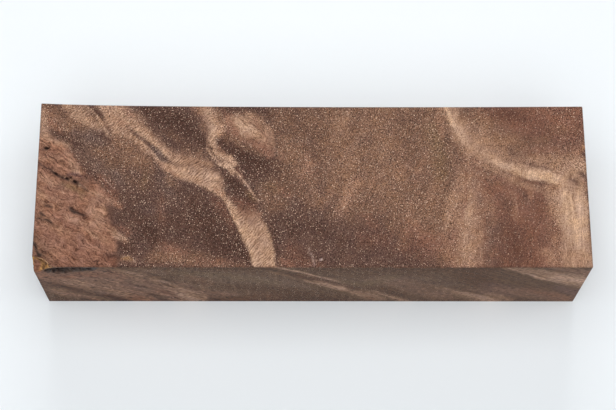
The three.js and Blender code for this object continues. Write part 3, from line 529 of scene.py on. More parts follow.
    ("fawn", 0.6, (2.4, 1.6), (60, -0.6, 0.8), (60.9, -4, 1), (62.2, -10, 0.8)),
    ("honey", 0.6, (2.4, 2), (62.6, -8, 0.8), (64, -16, 1.4), (64.4, -20, 1.2)),
    ("peach", 0.6, 1.4, (65, -2.4, 0.6), (65.3, -5, 0.8), (65.4, -8, 0.5)),
    ("honey", 0.8, 1.6, (64.4, 4, 1), (66.2, 3, 1.2), (68, 1.6, 1), (68.8, -1.4, 0.9), (69, -5, 0.8)),
    ("honey", 0.85, (1.6, 1), (68.6, -7, 1), (69, -24, 1.2)),
    ("sienna", 0.6, 0.9, (68.8, 1.4, 0.4), (69.8, 0.4, 0.7), (69.9, -1.4, 0.4)),
    ("russet", 0.5, 2, (-28, -20, 0.8), (-20, -20.6, 0.5)),
    ("walnut", 0.6, 1.4, (-8.6, -19.6, 0.5), (-7.6, -21, 0.8)),
    ("fawn", 0.65, 2, (52.4, 7, 0.6), (55, 6.8, 0.9), (59.4, 7.5, 1), (62.4, 7.2, 0.8)),
    ("sienna", 0.6, 1.8, (63.6, 8.6, 0.8), (68, 8.6, 0.8)),
    ("honey", 0.85, 1.4, (67.4, 5.4, 0.8), (69.2, 4.2, 1), (70.2, 3, 0.8)),
    ("honey", 0.7, 1.2, (63.4, 1.6, 0.8), (65.2, 0.8, 0.9), (66.6, -0.6, 0.8)),
    ("cream", 0.5, 1.2, (68.4, -2.4, 0.5), (69.2, -4.6, 0.7), (69.2, -7, 0.6)),
    ("cream", 0.5, 1.6, (63.6, -9, 0.6), (64.8, -14, 0.7)),
    ("hazel", 0.65, 1.8, (34.8, 10.4, 0.6), (35.6, 8, 0.9), (36, 5.6, 0.7)),
    ("hazel", 0.5, 1.8, (42.4, 3.4, 0.8), (45.4, 2.2, 0.9)),
    ("sienna", 0.6, 1.6, (43.4, -2.6, 0.5), (43.9, -5.4, 0.8), (43.8, -8, 0.5)),
    ("hazel", 0.5, 2.6, (61.6, 15.8, 1), (65, 14.8, 1.2)),
    ("hazel", 0.5, 1.6, (-28.4, 17, 0.6), (-27.6, 15, 0.7)),
    ("honey", 0.75, 1, (-25.6, 12.8, 0.6), (-25.2, 11, 0.7), (-25, 9.6, 0.5)),
    ("hazel", 0.65, 1.4, (-21.6, 13.8, 0.5), (-20.4, 12.6, 0.8), (-18.8, 11.8, 0.5)),
    ("fawn", 0.7, 1.6, (-33, 6.2, 0.7), (-31, 5.8, 0.9), (-28.6, 4.8, 0.8)),
    ("fawn", 0.55, 1, (-45.4, 11.4, 0.4), (-44, 10.1, 0.6), (-42.4, 8.6, 0.5)),
    ("fawn", 0.5, 1.2, (-62, 4.6, 0.5), (-60.8, 3.8, 0.7)),
    ("brick", 0.5, 1.8, (-57.4, 2.6, 0.5), (-56.2, 0.8, 0.8), (-55.4, -0.8, 0.5)),
    ("slate", 0.7, 1.4, (-47.4, 22.4, 0.6), (-45.8, 20.6, 0.7)),
    ("fawn", 0.8, 0.9, (-14.4, -8.4, 0.3), (-13.2, -9.8, 0.6), (-12.4, -11.4, 0.5)),
    ("russet", 0.75, 1.4, (-7.8, -19.8, 0.5), (-6.4, -21, 0.9), (-4.6, -21.6, 0.6)),
    ("sienna", 0.5, 2.4, (-1, 5, 0.8), (0, 3, 1)),
    ("hazel", 0.6, 2.4, (0, 0.4, 0.8), (0.6, -2, 1.1), (1.8, -4, 0.8)),
    ("fawn", 0.6, 1.8, (-69.6, -0.4, 0.7), (-68, -5.4, 0.8)),
    ("fawn", 0.65, 1.6, (43, 15.6, 0.6), (44.4, 13, 0.9), (46.4, 10.6, 0.6)),
    ("fawn", 0.6, 1.8, (47.4, 9.4, 0.6), (49.3, 8.2, 0.9), (51.6, 7.2, 0.7)),
    ("hazel", 0.65, 2, (57.4, 12.4, 0.8), (60.4, 12.4, 1)),
    ("russet", 0.6, 2, (63.6, 12.6, 0.9), (66.6, 12.4, 1)),
    ("fawn", 0.75, 1.8, (62.6, 6.6, 0.8), (65, 7, 1.1), (67.6, 7.2, 0.8)),
    ("honey", 0.6, 1.4, (65.6, 3.8, 0.6), (67.4, 4.2, 0.8)),
    ("fawn", 0.6, 1.8, (59.6, -1.6, 0.6), (60.2, -4.2, 0.9), (60.4, -7, 0.6)),
    ("russet", 0.55, 2.6, (13, -8.6, 0.8), (15.4, -10.6, 1.3)),
    ("hazel", 0.55, 2.4, (34.8, -16.4, 0.8), (36, -20.4, 1.3)),
    ("sienna", 0.75, (1, 1.4), (32.4, 19.6, 0.5), (32.9, 16.5, 0.8), (33.4, 13, 0.5)),
    ("bark", 0.7, 1.2, (-58.8, 5.6, 0.5), (-57, 4.4, 0.8), (-55.4, 3, 0.5)),
    ("brick", 0.5, 1.8, (-52, 0, 0.7), (-51, -2.6, 0.9)),
    ("sienna", 0.6, 0.9, (-39.6, 6.4, 0.3), (-38.2, 5.3, 0.5), (-36.6, 4.2, 0.3)),
    ("fawn", 0.6, 0.9, (-36, 5.2, 0.3), (-34.6, 4.4, 0.5), (-33.2, 3.8, 0.3)),
    ("walnut", 0.5, 1.8, (-36.2, 0.6, 0.6), (-34.2, -0.8, 0.8)),
    ("hazel", 0.45, 0.9, (-24, 0.4, 0.4), (-22.6, -1, 0.5)),
    ("honey", 0.6, 0.9, (-13.6, -9.8, 0.3), (-12.7, -11.8, 0.6), (-12.2, -14.4, 0.4)),
    ("umber", 0.75, (0.9, 1.4), (-10, -10.6, 0.4), (-9.4, -12.8, 0.7), (-9, -15.4, 0.4)),
    ("walnut", 0.55, 1.8, (-36.6, 14, 0.7), (-34.2, 12.4, 0.9)),
    ("rose", 0.8, 1.1, (-12.4, 11.2, 0.4), (-11.8, 9, 0.8), (-11.6, 7.4, 0.4)),
    ("fawn", 0.6, 1.6, (-69.6, 15.2, 0.5), (-68.4, 14, 0.8)),
    ("russet", 0.6, 1.8, (-48.4, -11.6, 0.7), (-46.4, -13.2, 0.9)),
    ("umber", 0.5, 2.2, (-3.4, -17.6, 0.8), (-1.6, -19.4, 0.9)),
    ("walnut", 0.5, 1.8, (-28.4, -18.6, 0.7), (-25.4, -19.2, 0.8)),
    ("brick", 0.55, 0.5, (-17.9, 17.4, 0.1), (-15.4, 16.8, 0.17), (-13, 14.8, 0.19), (-11.9, 12.3, 0.17),
     (-12.3, 10.4, 0.1)),
    ("brick", 0.5, 0.5, (-17.2, 14.8, 0.1), (-14.8, 12.2, 0.18), (-12.3, 10, 0.18), (-10.4, 9, 0.1)),
    ("hazel", 0.5, 0.5, (-16.6, 19.2, 0.1), (-14, 18.6, 0.17), (-11.8, 16.4, 0.17), (-10.6, 13.6, 0.12)),
    ("fawn", 0.6, 0.7, (-13.6, 18.4, 0.2), (-11.2, 15.8, 0.3), (-10.2, 13.2, 0.3), (-9.8, 10.6, 0.2)),
    ("bark", 0.6, (0.5, 1.4), (-9.6, 14.4, 0.2), (-9, 11.6, 0.35), (-9.1, 8.8, 0.2)),
    ("brick", 0.7, 1.4, (-52.6, -19.6, 0.5), (-50.6, -20.4, 0.9), (-48.6, -20, 0.6)),
    ("umber", 0.6, 1.2, (-49.4, -19, 0.4), (-48, -19.8, 0.6)),
    ("sienna", 0.8, 0.8, (-25, -0.6, 0.3), (-23.6, -2, 0.5), (-22.6, -3.2, 0.3)),
    ("russet", 0.7, 1.4, (-61.6, -16, 0.6), (-57.4, -18.2, 0.8), (-55.8, -19, 0.4)),
    ("sienna", 0.7, 1.6, (-69, 11.6, 0.6), (-67.6, 10.8, 0.8), (-65.2, 8.8, 0.8), (-64, 7.6, 0.4)),
    ("honey", 0.75, 1, (52.6, 5.8, 0.4), (54.3, 5.2, 0.6), (56, 4.6, 0.4)),
    ("fawn", 0.75, 1.2, (57.8, 6, 0.5), (60, 5.8, 0.7), (61.8, 5.2, 0.6)),
    ("honey", 0.75, 1.4, (61.4, -2, 0.5), (62, -4.4, 0.8), (62.2, -7, 0.5)),
    ("walnut", 0.75, 1.2, (-24.6, 21.2, 0.5), (-24, 19.2, 0.7), (-23.4, 17.4, 0.4)),
    ("cream", 0.8, 1.2, (67.8, -0.6, 0.5), (68.2, -3.2, 0.7), (68.4, -7, 0.6), (68.4, -11, 0.8),
     (68.4, -14, 0.5)),
    ("rose", 0.75, 1.4, (-67.4, 17.6, 0.6), (-66, 16, 0.8), (-64.6, 14.6, 0.4)),
    ("sienna", 0.6, 1.4, (-68.6, 20.6, 0.5), (-67.2, 19.2, 0.8)),
    ("sienna", 0.75, 0.8, (-24, 10.4, 0.3), (-23.3, 9.3, 0.45), (-22.4, 8.4, 0.3)),
    ("umber", 0.7, 1.1, (-56.8, 3.8, 0.4), (-55.8, 2.8, 0.6), (-54.8, 1.8, 0.4)),
    ("walnut", 0.7, 1, (-22.6, 14.2, 0.4), (-22, 12.4, 0.6), (-21.4, 10.8, 0.3)),
    ("bark", 0.65, 1.4, (-50, 5.4, 0.4), (-48, 4, 0.6), (-45.8, 3.2, 0.7), (-44, 2.2, 0.4)),
    ("peach", 0.7, 1.1, (58.4, 2.2, 0.4), (60.2, 1.4, 0.6), (62, 0.6, 0.4)),
    ("fawn", 0.7, 1.2, (-57, -12.2, 0.5), (-55.4, -13.2, 0.7), (-54.2, -14.2, 0.3)),
    ("honey", 0.7, 1.1, (-19.4, 19.6, 0.4), (-18.2, 18.6, 0.6), (-17, 17.4, 0.4)),
    ("sienna", 0.6, 1.2, (-50.4, 18, 0.4), (-48.8, 16.8, 0.7), (-47.4, 15.8, 0.4)),
    ("brick", 0.7, 0.8, (-19.2, 4.6, 0.25), (-18.2, 3.2, 0.4), (-17.2, 1.8, 0.25)),
    ("umber", 0.6, 1.6, (-46, -15.4, 0.6), (-44.4, -16.8, 0.8)),
    ("rose", 0.65, 0.8, (-36.4, 3.8, 0.3), (-35.2, 2.9, 0.45), (-34, 2.2, 0.3)),
    ("honey", 0.75, 0.8, (-12.9, -10.4, 0.3), (-12.2, -12.2, 0.5), (-11.7, -14, 0.3)),
    ("umber", 0.75, 1, (-9, -11.2, 0.4), (-8.2, -13, 0.7), (-7.6, -15, 0.4)),
    ("rose", 0.55, 1.4, (-48, 20.6, 0.5), (-46.4, 19, 0.6)),
    ("hazel", 0.65, 1.8, (24.4, 21, 0.7), (24.8, 18.6, 0.9), (25.2, 16.4, 0.4)),
    ("dusk", 0.75, (1.2, 1), (-19, -15.4, 0.5), (-18.3, -17.4, 0.8), (-17.4, -19.4, 0.4)),
    ("rose", 0.7, 1, (-14.6, 10.4, 0.35), (-13.4, 9.5, 0.55), (-12.2, 8.4, 0.35)),
    ("umber", 0.6, 1.4, (-10.8, 4.6, 0.5), (-9.6, 3, 0.8), (-8.6, 1.4, 0.4)),
    ("russet", 0.7, 1.4, (-65, -1, 0.5), (-63.8, -2.2, 0.8), (-62.4, -3.4, 0.4)),
    ("olive", 0.65, 1, (-16.4, -2, 0.35), (-15.6, -3.2, 0.5), (-14.8, -4.4, 0.35)),
    ("honey", 0.65, 0.9, (-18, -8.2, 0.3), (-17.4, -9.6, 0.5), (-16.8, -11, 0.3)),
    ("fawn", 0.65, 1.1, (-54.6, 17.8, 0.4), (-53.2, 16.6, 0.6), (-51.6, 15.4, 0.4)),
    ("fawn", 0.6, 1.1, (-30, 1.4, 0.4), (-28.6, 0.6, 0.6), (-27.2, -0.2, 0.3)),
    ("umber", 0.6, 1.4, (-44.4, -3.6, 0.5), (-43, -5, 0.8), (-41.8, -6.4, 0.4)),
    ("rose", 0.65, 1.2, (45.2, 2.6, 0.4), (46.9, 1.9, 0.7), (48.6, 1.2, 0.4)),
]

# Marks of the top face alone: darker bands along the cracks, painted shade in the cracks and pits, scuffs
# and dust
TOP_MARKS = [
    ("bark", 0.85, 1, (-69.8, 5.9, 0.15), (-64.8, 2.7, 0.4), (-61.4, 1.2, 0.8), (-60, 0.6, 0.7),
     (-58.8, -0.4, 0.3), (-57.2, -1.6, 0.1)),
    ("plum", 0.85, 0.8, (-62.2, 2.5, 0.2), (-61, 2.9, 0.4), (-59.6, 2.7, 0.5), (-58.4, 2, 0.3)),
    ("dusk", 0.85, 0.5, (-66, 3.3, 0.15), (-65, 2.6, 0.25), (-64, 2, 0.15)),
    ("dusk", 0.85, 0.6, (-60.6, 0.5, 0.2), (-60, 0.3, 0.35), (-59.4, -0.3, 0.15)),
    ("hazel", 0.9, 0.4, (-61.6, 1.2, 0.12), (-61, 0.9, 0.22), (-60.8, 0.6, 0.12)),
    ("cream", 0.85, 0.3, (-66, 3.95, 0.08), (-65.6, 3.7, 0.16), (-65.3, 3.4, 0.08)),
    ("peach", 0.9, 0.3, (-61.9, 1.25, 0.1), (-61.7, 1.1, 0.2)),
    ("cream", 0.7, 0.3, (-62.9, 2, 0.08), (-62.6, 1.9, 0.12)),
    ("peach", 0.95, 0.4, (-59.5, 0.1, 0.1), (-59.2, -0.1, 0.25), (-58.9, -0.4, 0.12)),
    ("cream", 0.6, 0.4, (-58.2, -1, 0.06), (-57.4, -1.4, 0.12)),
    ("olive", 0.55, 2.1, (-61.6, -0.2, 0.3), (-59.6, -1.4, 0.7), (-58, -2.2, 0.5)),
    ("bark", 0.85, 1, (-61.8, -6, 0.15), (-60.6, -6.7, 0.4), (-58.2, -8, 0.35), (-56.8, -8.8, 0.12)),
    ("bark", 0.8, 0.5, (-67.6, -5.4, 0.1), (-66.7, -5.7, 0.22), (-65.8, -6, 0.1)),
    ("bark", 0.85, 0.8, (-69.2, 9.7, 0.15), (-68.2, 9.8, 0.4), (-67.2, 9.9, 0.2)),
    # Painted shade in the cracks and small pits, laid along their middles
    ("soot", 0.75, 0.5, (-68.6, -7.4, 0.2), (-68, -7.9, 0.36), (-67.4, -8.3, 0.15)),
    ("soot", 0.7, 0.5, (-69.2, -9, 0.1), (-67.4, -9.4, 0.16), (-66.2, -9.7, 0.3), (-65.3, -10.2, 0.12)),
    ("soot", 0.7, 0.5, (-67.5, -5.7, 0.1), (-66.6, -6, 0.2), (-66, -6.2, 0.1)),
    ("soot", 0.75, 0.5, (-61.2, -6.5, 0.15), (-60, -7, 0.3), (-57, -8.5, 0.1)),
    ("soot", 0.6, 0.4, (-69.6, 5.5, 0.1), (-67, 4.3, 0.14), (-65.4, 3.3, 0.26), (-63.6, 1.9, 0.2),
     (-61.8, 1.2, 0.12)),
    ("soot", 0.55, 0.4, (-60.2, 0.6, 0.2), (-56.8, -1.6, 0.08)),
    ("soot", 0.8, 0.6, (-70.2, -15.2, 0.2), (-69.2, -16.2, 0.4), (-68.9, -17.6, 0.35), (-68.2, -18.6, 0.4),
     (-67.6, -18.9, 0.15)),
    ("olive", 0.7, 0.5, (-59, -3, 0.15), (-58.4, -3.8, 0.3), (-58, -4.3, 0.12)),
    ("honey", 0.6, 0.5, (-63.8, -2, 0.12), (-63.3, -2.3, 0.22), (-62.9, -2.6, 0.1)),
    ("russet", 0.7, 0.7, (-64, -8, 0.2), (-63.3, -8.8, 0.4), (-63, -9.4, 0.15)),
    ("dust", 0.4, 0.4, (-53.3, 2.3, 0.05), (-52.3, 1, 0.2), (-50, -1.5, 0.02)),
    ("dust", 0.3, 0.4, (-50.6, 4.2, 0.03), (-49.8, 3.2, 0.14), (-48.9, 2.3, 0.02)),
    ("dust", 0.35, 0.7, (-1, -16.4, 0.05), (0.1, -19.8, 0.35), (0.2, -21.6, 0.25)),
    ("dust", 0.95, 0.5, (1.9, -19.85, 0.22), (2.1, -19.9, 0.22)),
]

# Streaks of the front face in its own shades, which hold partly its own wood and partly the light and shade
# it gets, painted in, laid out as (along, below the top face, half width). Seen from the front, the first
# of two soft edges is then the one on the right hand.
FRONT_STREAKS = [
    # broad grounds
    ("grey", 0.75, 7.8, (-30, 8, 3), (-20, 9, 4), (-10, 12, 4), (-4, 17, 2)),
    ("grey", 0.5, 6.5, (8, 10, 2), (14, 12, 3), (28, 11, 3), (36, 15, 3)),
    ("brown", 0.6, 6.5, (17, 10, 2), (22, 13, 4), (27, 19, 4), (33, 24, 4)),
    ("dark", 0.9, 2.3, (-50, 0.6, 0.6), (-20, 1.4, 1.1), (-9, 1, 0.8)),
    ("dark", 0.8, 3.4, (-3, 1, 1.4), (10, 1.8, 1.6), (46, 1.4, 1.4)),
    ("dark", 0.8, 6.5, (40, 4, 3), (42, 9, 4), (44, 13, 3)),
    ("dark", 0.8, 5.2, (-20, 17.6, 1.6), (-12, 18.4, 2.2), (-6, 22, 3.4), (0, 27, 3.6)),
    ("dark", 0.8, 5.2, (-26, 28.4, 1.6), (-16, 27, 3), (-6, 27, 3.6), (6, 28, 2.6)),
    ("russet", 0.35, 5.2, (-14, 23, 1.6), (-10, 26, 2), (-22, 28.6, 1.4)),
    ("dark", 0.6, 3.9, (15, 17.6, 1.2), (20, 19.4, 1.8), (24, 23.4, 1.4)),
    ("plum", 0.7, 6.5, (46, 16, 3), (49, 20, 3.6), (53, 24, 2.6)),
    ("brown", 0.6, 6.5, (56, 21, 3), (62, 25, 4), (70, 27, 4)),
    ("plum", 0.6, 3.9, (63, 16.6, 1), (66.6, 19.4, 2), (70, 22, 2)),
    # brown burl side
    ("brown", 0.95, (3.9, 6.5), (-74, 5, 5), (-62, 7, 6), (-53, 10, 6.6), (-39, 22.6, 6.6), (-35, 31, 6)),
    ("brown", 0.8, 5.2, (-66, 12, 4), (-50, 24, 5)),
    ("russet", 0.6, 5.2, (-70, 6.4, 1.6), (-65, 8.6, 1.8), (-60, 7.6, 1.6)),
    ("russet", 0.4, 3.9, (-55, 5.6, 1), (-51, 4.6, 1.4), (-48, 8.6, 1.4)),
    ("tan", 0.6, 3.9, (-51, 2.4, 0.6), (-47.4, 3.8, 1.2), (-43.6, 9.4, 0.8)),
    ("tan", 0.5, 3.9, (-60.4, 10.4, 1), (-59, 14, 1.4), (-57, 17.6, 1.2)),
    ("tan", 0.4, 3.9, (-54.6, 12.8, 1.2), (-49.4, 20, 1.4)),
    ("grey", 0.6, 3.1, (-47, 11.6, 0.8), (-44.6, 15.4, 1.2), (-43, 19, 1.2)),
    ("dark", 0.7, 3.9, (-72, 11, 1.2), (-64.6, 16.4, 1.8), (-61.4, 19.6, 1.5), (-55, 24.6, 0.8)),
    ("dusk", 0.6, 2.6, (-65.4, 15.4, 0.6), (-63, 17.6, 0.9), (-60.6, 20, 0.5)),
    ("dark", 0.75, 2.6, (-69.6, 19.6, 0.5), (-68.4, 22.4, 0.8), (-66.6, 25.4, 1.4), (-66, 30, 2.6)),
    ("dark", 0.6, 3.1, (-62.6, 26.2, 0.8), (-59.6, 28.6, 1.2)),
    ("pale", 0.85, (2.6, 1.8), (-68.8, 19, 0.3), (-66.8, 21.2, 0.8), (-64, 23.2, 1.1), (-60.8, 24.8, 0.9),
     (-58, 26.8, 0.7), (-56.4, 28.6, 0.3)),
    ("russet", 0.5, 2.3, (-58.6, 26.8, 0.6), (-56.6, 28.8, 0.8)),
    ("olive", 0.6, 1.6, (-56, 27.6, 0.4), (-54, 29.2, 0.7), (-53, 30.4, 0.5)),
    ("dusk", 0.95, 2.6, (-56, 23.6, 0.3), (-54, 25, 0.9), (-50.4, 28.8, 1.6), (-49.4, 31, 1.4)),
    ("tan", 0.7, 3.9, (-52, 21, 1), (-46.6, 26.4, 1.6)),
    ("russet", 0.7, 3.9, (-47.4, 25, 1.2), (-44.6, 27.6, 2), (-43.4, 30.6, 2)),
    ("russet", 0.7, 2.1, (-40.2, 20.6, 0.6), (-38.2, 22.4, 1), (-36.8, 24, 0.5)),
    ("dark", 0.8, 2.6, (-43, 22.6, 0.4), (-41, 24.8, 0.9), (-39.4, 27, 0.9), (-38.8, 30.4, 1.2)),
    ("tan", 0.85, (4.4, 2.6), (-40.4, 11, 0.5), (-34.8, 19, 1.8), (-32.6, 24, 2.8), (-31.6, 31, 3.6)),
    ("pale", 0.5, 3.1, (-35.6, 21.4, 0.8), (-34.2, 24.4, 1.4), (-33, 27.6, 1.2)),
    ("pale", 0.65, (1.6, 0.8), (-40.6, 9.4, 0.2), (-38.6, 11.6, 0.45), (-34, 16.8, 0.4), (-30, 22.6, 0.2)),
    ("pale", 0.5, (1.8, 1.1), (-46.8, 4.4, 0.3), (-44.4, 5.8, 0.5), (-42.8, 7.6, 0.5), (-41.8, 9.2, 0.2)),
    ("tan", 0.7, (3.1, 2.3), (-28.2, 15.6, 0.5), (-28.4, 25, 1.1), (-28.8, 29, 0.6)),
    ("brown", 0.8, 4.4, (-27, 21, 1.2), (-23.6, 22.6, 2), (-20.6, 23.4, 1.2)),
    ("russet", 0.35, 3.9, (-31, 7.6, 1.4), (-28.6, 11, 1.8), (-27, 14.6, 1.2)),
    # small light dashes
    ("pale", 0.55, 0.6, (-20.4, 15.6, 0.1), (-19.6, 19.4, 0.16)),
    ("pale", 0.5, 0.6, (-17, 20, 0.1), (-16.4, 21.8, 0.16), (-16.8, 23.6, 0.12)),
    ("pale", 0.4, 0.7, (-9.2, 15.8, 0.15), (-8.2, 17.6, 0.22), (-7.4, 19.2, 0.1)),
    ("pale", 0.4, 0.7, (-3.6, 14.8, 0.12), (-2.4, 16.2, 0.2), (-1.4, 17.6, 0.12)),
    ("dusk", 0.5, 1.1, (-16, 24, 0.2), (-15.6, 26, 0.25)),
    # pale growth layers
    ("dusk", 0.75, (1.8, 2.6), (-6, 5.2, 0.4), (1.4, 10.8, 1.1), (9, 16.4, 0.8), (11.6, 19, 0.4)),
    ("russet", 0.35, 2.6, (-4, 6.6, 0.5), (3, 11.8, 0.8), (8, 15.4, 0.6)),
    ("pale", 1, (0.8, 0.7), (-10.4, -0.6, 0.5), (-5.6, 2.4, 0.5), (4, 9.8, 0.46), (6.2, 11.6, 0.42),
     (7.6, 12.8, 0.2, 0.7)),
    ("cream", 0.5, 0.6, (-6.8, 1.7, 0.2), (-3, 4.4, 0.25), (4.4, 10.2, 0.22)),
    ("tan", 0.5, 1.1, (7.4, 12.6, 0.2), (9, 14, 0.3), (10.4, 15.2, 0.15)),
    ("tan", 0.75, (2.1, 1), (-11.6, 3, 0.12, 0.5), (-9.4, 4.9, 0.3), (-6.8, 7.1, 0.4), (0.6, 13.5, 0.6)),
    ("pale", 0.9, (1.8, 1.1), (-2.6, 10.8, 0.15), (6.2, 17.9, 0.9), (9.4, 20.6, 0.5)),
    ("cream", 0.5, 1.1, (3, 15.4, 0.2), (5, 16.9, 0.4), (7, 18.6, 0.4)),
    ("tan", 0.85, (2.6, 2.1), (9.2, 20.4, 0.5), (13, 24.8, 1), (16.8, 29, 0.7)),
    ("pale", 0.5, 1.1, (10.4, 21.8, 0.3), (12.4, 24, 0.45), (13.8, 25.6, 0.3)),
    ("russet", 0.6, 2.1, (14.6, 26, 0.5), (16.4, 27.8, 0.7)),
    ("tan", 0.6, (1.1, 2.6), (13, 21, 0.9), (15.4, 22.2, 1.3), (17.4, 24, 0.8)),
    ("pale", 0.75, (1.6, 1), (15.8, 19.8, 0.2), (17.2, 21.4, 0.45), (20.4, 25.4, 0.65), (22.4, 27.4, 0.85),
     (26.2, 30.4, 0.7)),
    ("dark", 0.6, 2.1, (17.4, 19.6, 0.4), (20, 22.6, 0.8), (23.4, 25.8, 0.6)),
    ("tan", 0.5, 2.6, (30.4, 15, 0.5), (32.4, 17.4, 0.9), (35.4, 19.2, 0.8)),
    ("tan", 0.3, 1.8, (32.4, 21.6, 0.4), (33.2, 25.4, 0.6), (35.4, 28.4, 0.6)),
    ("tan", 0.85, (4.4, 1.8), (35, 18.6, 0.5), (38.4, 22, 1.4), (45.4, 28, 3), (48, 32, 3.4)),
    ("pale", 0.75, (3.4, 1.8), (38, 20.8, 0.4), (47.6, 28.4, 1.7), (50, 31, 1.4)),
    ("cream", 0.35, 1.8, (44.6, 25.8, 0.4), (47, 27.4, 0.6)),
    # light wedge of the plain end
    ("tan", 0.9, (2.1, 3.9), (48.6, -1.4, 0.8), (62, 8.2, 3.2), (72, 12.2, 3.8)),
    ("pale", 0.85, (1.8, 2.9), (60, 8.2, 1), (63.4, 9.6, 2.2), (71.4, 11.8, 2.6)),
    ("pale", 0.85, (0.8, 1.1), (47.6, -0.8, 0.5), (55.2, 6.5, 0.5), (63, 12.6, 0.5), (65.4, 14, 0.5),
     (68, 14.8, 0.5), (71, 15.2, 0.5)),
    ("cream", 0.6, 2.1, (61.6, 6.4, 0.5), (63.4, 8.4, 0.9), (65.6, 10.6, 0.9), (68.6, 12, 0.9)),
    ("cream", 0.5, 0.8, (55.8, 7.4, 0.25), (58, 9.2, 0.35), (59.8, 10.4, 0.2)),
    ("brown", 0.85, (1.8, 2.6), (59.4, -0.6, 1.2), (63.4, 1.8, 1.8), (71.6, 5.6, 1.8)),
    ("tan", 0.3, (3.4, 2.3), (66, 15.8, 0.4), (70, 17.6, 0.9)),
    # more of the brown side: mottles and the contrast low down
    ("russet", 0.5, 2, (-59, 5.2, 0.8), (-56.4, 7, 1.2), (-52, 7.4, 1)),
    ("tan", 0.5, 2, (-64, 9.4, 0.8), (-61.4, 11.8, 1), (-58.6, 13, 0.6)),
    ("tan", 0.5, 2, (-56, 14, 0.8), (-53.8, 16.2, 1.2), (-52.6, 18.6, 0.8)),
    ("plum", 0.5, 1.6, (-47.4, 14.4, 0.5), (-46, 16, 0.6), (-44.4, 18.6, 0.5)),
    ("dark", 0.6, 0.9, (-42.4, 13.4, 0.15), (-40.4, 16.4, 0.25), (-38.4, 19, 0.2)),
    ("dark", 0.5, 0.9, (-40.6, 12.6, 0.12), (-37.6, 15.4, 0.2), (-35.4, 17.6, 0.12)),
    ("dusk", 0.8, 1.4, (-55.2, 23.6, 0.3), (-53.2, 25.2, 0.8), (-51.4, 27.4, 1.2), (-50.4, 30, 1.4)),
    ("tan", 0.6, 2.4, (-51.6, 20.6, 0.8), (-49, 23, 1.4), (-47.6, 25.4, 0.8)),
    ("russet", 0.6, 2, (-48, 26.6, 0.8), (-46.6, 29.4, 1.2)),
    ("tan", 0.6, 2, (-43.8, 26, 0.8), (-43.4, 29.6, 1)),
    ("dark", 0.7, 1.6, (-42.4, 23.4, 0.3), (-40.2, 26, 0.8), (-39, 29.6, 1.2)),
    ("dusk", 0.5, 0.9, (-39.6, 21.2, 0.2), (-37.8, 22.8, 0.5), (-36.8, 24.2, 0.2)),
    ("pale", 0.7, 3, (-34.4, 23, 0.8), (-32.2, 26.4, 1.8), (-30.6, 30, 1.8)),
    ("pale", 0.6, 0.9, (-39.6, 23.6, 0.2), (-37.4, 25.6, 0.3), (-35.8, 27.6, 0.2)),
    ("brown", 0.7, 3, (-27, 26, 1.4), (-24, 24.4, 1.8), (-20, 23.8, 1)),
    ("dusk", 0.6, 1.6, (-26, 27.4, 0.4), (-24.2, 28.6, 0.6)),
    # greenish grey field and the fine level lines above it
    ("olive", 0.35, 4, (-34, 5, 2), (-26, 6.4, 2.4), (-18, 9, 2.6), (-10, 13, 1.6)),
    ("olive", 0.4, 3, (8, 12.6, 1.2), (14, 14, 1.8), (20, 8.6, 2)),
    ("dusk", 0.45, 0.6, (-36, 4.4, 0.12), (-24, 3.6, 0.15), (-12, 4, 0.12)),
    ("grey", 0.45, 0.6, (-30, 2.8, 0.12), (-18, 2.6, 0.15), (-9, 3, 0.1)),
    ("grey", 0.5, 0.6, (3, 3.6, 0.12), (22, 3, 0.12)),
    ("dusk", 0.45, 0.6, (4, 4.6, 0.12), (16, 4.3, 0.18), (26, 4.6, 0.12)),
    ("dusk", 0.4, 0.6, (6, 6.8, 0.1), (18, 6.4, 0.15), (30, 6.6, 0.1)),
    ("dusk", 0.35, 1, (26, 11.6, 0.3), (32, 12.4, 0.4), (38, 13.2, 0.2)),
    # Thin reddish lines just under the top edge: painted highlight of the eased edge
    ("russet", 0.8, 0.5, (-13, 0.1, 0.1), (-4, 0.1, 0.28), (10, 0.1, 0.3), (50, 0.1, 0.25)),
    ("russet", 0.5, 0.5, (-52, 0.1, 0.1), (-36, 0.1, 0.25), (-20, 0.1, 0.2)),
    # purplish wood under the wedge
    ("plum", 0.8, 3, (64, 16.6, 1.2), (67, 19.6, 2.2), (70, 23, 2.6)),
    ("brown", 0.6, 4, (48, 18, 1.6), (56, 22.6, 2.6), (66, 27, 3)),
    ("russet", 0.35, 3, (56, 19.4, 1.4), (62, 23, 2), (68, 28, 2)),
    # softer changes of tone over the streaks
    ("brown", 0.55, 3, (-43.5, 1.5, 1), (-41, 3.4, 1.4), (-37.4, 5, 1.2)),
    ("tan", 0.6, 2.4, (-46, 4.4, 0.8), (-43.4, 6.4, 1.2), (-41.4, 9, 1.2), (-39.6, 11, 0.6)),
    ("brown", 0.7, 2.6, (-34.6, 12.6, 0.8), (-32, 15.4, 1.4), (-29.6, 21, 0.8)),
    ("grey", 0.55, 2, (-41, 24.6, 0.8), (-39.4, 27, 1.2)),
    ("grey", 0.5, 2.4, (-57, 20.6, 1), (-55.4, 23, 1.2)),
    ("tan", 0.6, 1.8, (-68, 18.2, 0.6), (-65.4, 20.4, 1), (-63, 22.6, 1)),
    ("brown", 0.6, 2.4, (-64.4, 22.6, 1), (-58.6, 27.6, 1)),
    ("brown", 0.5, 2, (-28, 21.4, 1), (-26.6, 23, 0.8)),
    ("tan", 0.85, 1.2, (0.6, 11.4, 0.5), (3.4, 13.6, 0.9), (12.4, 22, 1.1), (16, 24.6, 1.1), (19, 28, 1.1)),
    ("cream", 0.6, 1, (2.6, 13.2, 0.3), (5.4, 15.8, 0.6), (8.2, 18.4, 0.5)),
    ("tan", 0.6, 1.4, (20, 24.4, 0.6), (22.4, 26.6, 1), (24.6, 29, 0.9)),
    ("brown", 0.55, 2.6, (33.4, 22.4, 0.8), (35.8, 25, 1.2), (37.4, 28, 1)),
    ("brown", 0.6, 2.4, (40.4, 18.6, 0.6), (47, 22.6, 1)),
